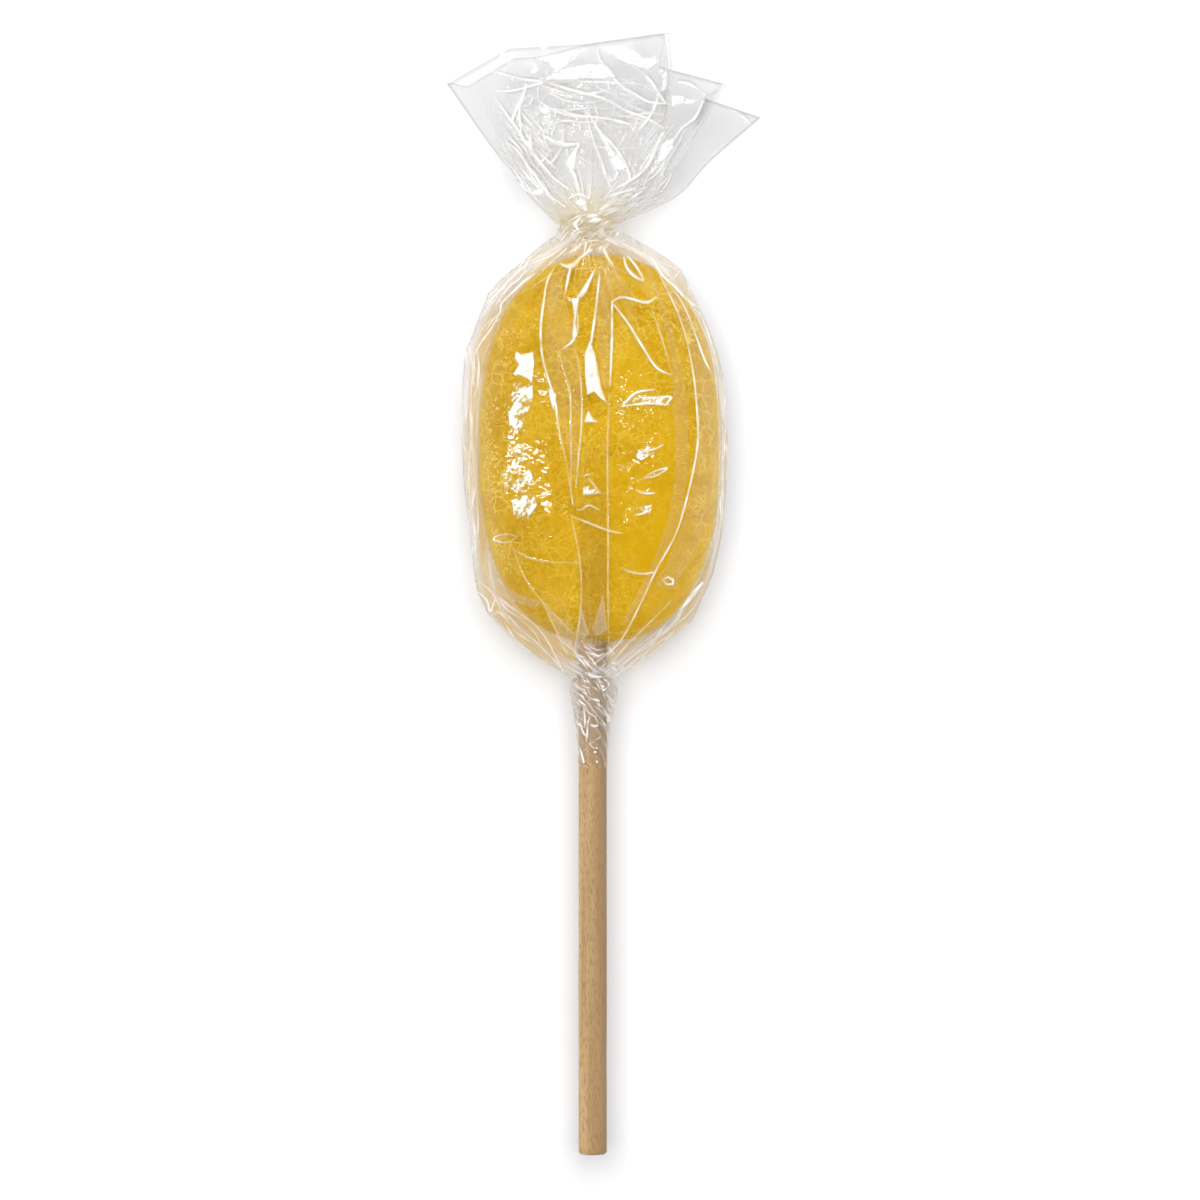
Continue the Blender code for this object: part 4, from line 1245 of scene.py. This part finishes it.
def fan_film(side, rows, columns):
    """One layer of the fan, from the neck to the mouth, and its masks."""
    seed = 41 if side > 0 else 57
    across = np.linspace(0.0, 1.0, columns)
    out = np.linspace(0.0, 1.0, rows)
    middle, normal = fan_sheet(side, across, out)
    x, y = middle[..., 0], middle[..., 1]
    out = out[:, None]
    front_panel = 1.0 - smooth((across - FAN_PANELS["A"][1]) / 0.02)
    band = smooth((across - 0.08) / 0.08) * (0.3 + 0.7 * front_panel)
    opening = smooth(out / 0.35)
    ends = smooth(np.minimum(across, 1.0 - across) / 0.02)
    facets = 0.05 * crumpled(x, y, seed, 14) + 0.04 * crumpled(x, y, seed + 1, 28)
    facets = facets + 0.03 * noise(x / 1.3, y / 1.3, seed + 2)
    ridge, line, dark = fan_creases(x, y, across, side, seed)
    lift = (facets * band + side * ridge) * opening
    core = 2.0 * (1.0 - smooth(out / 0.3)) * np.sqrt(np.maximum(1.0 - (2.0 * across - 1.0) ** 2, 0.0))
    gap = FAN_GAP * ends * opening + core
    points = middle + normal * (side * gap + lift * ends)[..., None]
    glints = fan_glints(points, x, y, across) if side > 0 else 0.0
    # Painted shade at the mouth, at the fold edges, beside creases and in patches over the panels; painted
    # highlights on creases, glints and bends; a painted warm glow round the neck
    mouth = smooth((out - 1.0) * rows + 2.5)
    crumple = smooth((across - 0.1) / 0.08) * front_panel
    patches = 0.09 + 0.14 * noise(x / 3.0, y / 2.4, seed + 6) + 0.1 * noise(x / 1.2, y / 1.1, seed + 8)
    panelled = np.maximum.reduce([smooth(np.minimum(across - start, end - across) / 0.01 + 1.0)
                                  for start, end in FAN_PANELS.values()])
    shade = np.maximum(0.8 * dark, 0.55 * np.maximum(mouth, (1.0 - ends) ** 4))
    return points, {
        "milk": 0.35 * (1.0 - smooth(out / 0.2)) * (0.7 + 0.4 * noise(x / 0.8, y / 2.0, seed + 7)),
        "pale": np.maximum(np.maximum(line, glints), 0.25 * bend_strength(points) * band),
        "shade": shade + crumple * patches * opening + (0.14 - 0.09 * crumple) * panelled,
        "warm": 0.45 * (1.0 - smooth(np.hypot(x - NECK_MIDDLE[0], 1.3 * (y - NECK_MIDDLE[1])) / 9.0)),
    }


def split_rows(name, points, masks):
    """Cuts a sheet across its middle into two pieces that meet without a seam in their shading."""
    normals = grid_normals(points)
    cut = len(points) // 2
    for part, rows in (("lower", slice(0, cut + 1)), ("upper", slice(cut, None))):
        own_masks = {mask: values[rows] for mask, values in masks.items()}
        yield f"{name}_{part}", points[rows], normals[rows], own_masks


def film_materials():
    """The film's looks: clear round the candy, clearer in the fan, duller in the neck and the sleeve."""
    white = (1.0, 0.99, 0.96)
    amber = (0.82, 0.56, 0.22)
    straw = (0.78, 0.66, 0.34)
    # Name, clear tint, least mirror share, painted glow colour, and the faint and full colours of the
    # painted highlights
    looks = (
        ("clear_film", (0.98, 0.975, 0.975), 0.032, amber, (1.0, 0.86, 0.45), white),
        ("fan_film", (0.986, 0.985, 0.985), 0.022, straw, white, (1.0, 1.0, 1.0)),
        ("gathered_film", (0.965, 0.945, 0.89), 0.06, straw, (0.95, 0.90, 0.78), white),
        ("twisted_film", (0.975, 0.948, 0.912), 0.06, amber, (0.92, 0.88, 0.8), white),
    )
    return [film_material(*look) for look in looks]


def build_film():
    """The film's sheets and tubes, which all stand for the wrapper."""
    clear, fan, gathered, twisted = film_materials()
    neck = tube(NECK_STATIONS, NECK_ROWS, (NECK_CREASES, NECK_WRINKLES),
                depth=0.45, twist=0.4, slant=20.0, seed=71)
    sleeve = tube(SLEEVE_STATIONS, SLEEVE_ROWS, (SLEEVE_CREASES, SLEEVE_WRINKLES),
                  depth=0.5, twist=-0.42, slant=-52.0, seed=83)
    pieces = []
    for name, points, normals, masks in split_rows("film_front", *body_film(1.0, BODY_COLUMNS, BODY_ROWS)):
        pieces.append(grid_piece(name, points, clear, normals=normals, **masks))
    for name, material, wrap, (points, masks) in (
        ("film_back", clear, False, body_film(-1.0, BACK_COLUMNS, BACK_ROWS)),
        ("film_neck", gathered, True, neck),
        ("film_sleeve", twisted, True, sleeve),
        ("film_fan_front", fan, False, fan_film(1.0, FAN_ROWS, FAN_COLUMNS)),
        ("film_fan_back", fan, False, fan_film(-1.0, FAN_BACK_ROWS, FAN_BACK_COLUMNS)),
    ):
        pieces.append(grid_piece(name, points, material, wrap=wrap, **masks))
    for piece in pieces:
        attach(piece, "root")
        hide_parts("wrapper")


# Candy and stick


def build_candy():
    """The candy's own fine surface: the CAD model's oval with shallow dimples."""
    half_width, half_length, half_thickness = CANDY_HALF
    spread = 2.0 / CANDY_POWER
    rise = np.linspace(-math.pi / 2.0, math.pi / 2.0, CANDY_RINGS)[:, None]
    angle = circle(CANDY_SIDES)
    share = np.maximum(np.cos(rise), 0.0) ** spread
    x = half_width * share * signed_power(np.cos(angle), spread)
    y = half_length * signed_power(np.sin(rise), spread) + 0.0 * angle
    z = half_thickness * share * signed_power(np.sin(angle), spread)
    dimples = 0.05 * noise(x / 2.2 + 9.0, y / 2.2, 101) + 0.035 * noise(x / 0.9, y / 0.9 + z, 102)
    inward = 1.0 - (0.09 - dimples) / half_width
    z = np.maximum(MID_HEIGHT + z * inward, CANDY_BASE)
    points = np.stack([CANDY_X + x * inward, CANDY_Y + y, z], axis=-1)
    candy = grid_piece("candy_body", points, candy_material(), wrap=True)
    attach(candy, "root")
    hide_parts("candy")
    candy.visible_diffuse = False


def build_stick():
    """The dowel with its eased ends."""
    eased_end = [(0.0, 0.0), (0.0, 1.2), (0.06, 1.62), (0.2, 1.86), (0.42, STICK_RADIUS)]
    profile = [(STICK_END + inset, radius) for inset, radius in eased_end]
    plain = np.linspace(STICK_END + 1.0, STICK_TIP - 1.0, STICK_ROWS)
    profile += [(place, STICK_RADIUS) for place in plain]
    profile += [(STICK_TIP - inset, radius) for inset, radius in reversed(eased_end)]
    along, reach = np.array(profile).T[:, :, None]
    angle = circle(STICK_SIDES)
    wear = noise(3.0 + 2.0 * np.cos(angle) + np.sin(angle), along / 6.0, 131) - 1.0
    reach = reach + 0.02 * wear * (reach > 0.5)
    x = STICK_X + reach * np.cos(angle)
    z = MID_HEIGHT + reach * np.sin(angle)
    points = np.stack(np.broadcast_arrays(x, along, z), axis=-1)
    stick = grid_piece("stick_dowel", points, wood_material(), wrap=True)
    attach(stick, "root")
    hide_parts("stick")


# Stage


def build_floor():
    mesh = bpy.data.meshes.new("floor")
    corners = [(-1, -1), (1, -1), (1, 1), (-1, 1)]
    mesh.from_pydata([(x * FLOOR_REACH, y * FLOOR_REACH, 0.0) for x, y in corners], [], [(0, 1, 2, 3)])
    mesh.materials.append(floor_material())
    floor = add_object("floor", mesh)
    floor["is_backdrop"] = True


def softbox(name, box):
    """A rectangular softbox placed and sized by the angles at which the part sees it."""
    half_angle_x, half_angle_y, radiance = box[2:]
    place = box_place(box)
    light = bpy.data.lights.new(name, 'AREA')
    light.shape = 'RECTANGLE'
    light.size = 2.0 * LIGHT_DISTANCE * MM * math.tan(math.radians(half_angle_x))
    light.size_y = 2.0 * LIGHT_DISTANCE * MM * math.tan(math.radians(half_angle_y))
    light.energy = radiance * light.size * light.size_y * math.pi
    lamp = add_object(name, light)
    lamp.location = place * MM
    lamp.rotation_euler = (place - Vector(LIGHT_AIM)).to_track_quat('Z', 'Y').to_euler()
    return lamp


def build_lights():
    """Narrow softboxes that only the film mirrors, a large one that only lights, and a pale studio."""
    for name, box in (("left_box", LEFT_BOX), ("right_box", RIGHT_BOX), ("head_box", HEAD_BOX)):
        softbox(name, box).visible_diffuse = False
    softbox("key_box", KEY_BOX).visible_glossy = False
    world = bpy.data.worlds.new("studio")
    world.use_nodes = True
    nodes = world.node_tree.nodes
    place = nodes.new("ShaderNodeTexCoord")
    split = nodes.new("ShaderNodeSeparateXYZ")
    ramp = nodes.new("ShaderNodeValToRGB")
    tones = ((0.2, colour(1.0, 1.0, 1.02)), (0.7, colour(0.11, 0.11, 0.11)))
    for element, (position, tone) in zip(ramp.color_ramp.elements, tones):
        element.position = position
        element.color = tone
    links = world.node_tree.links
    links.new(place.outputs["Generated"], split.inputs["Vector"])
    links.new(split.outputs["Z"], ramp.inputs["Fac"])
    links.new(ramp.outputs["Color"], nodes["Background"].inputs["Color"])
    bpy.context.scene.world = world


def build_camera():
    camera = add_object("camera", bpy.data.cameras.new("camera"))
    camera.location = camera_place() * MM
    camera.data.sensor_width = SENSOR_WIDTH
    camera.data.lens = SENSOR_WIDTH * CAMERA_DISTANCE / (PHOTO_SIZE * PHOTO_SCALE)
    bpy.context.scene.camera = camera
    bpy.context.scene.view_settings.view_transform = 'Standard'


build_film()
build_candy()
build_stick()
build_floor()
build_lights()
build_camera()

boxes = {"cad": CAD_BOX, "visual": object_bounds()}
{name: [list(corner) for corner in box] for name, box in boxes.items()}
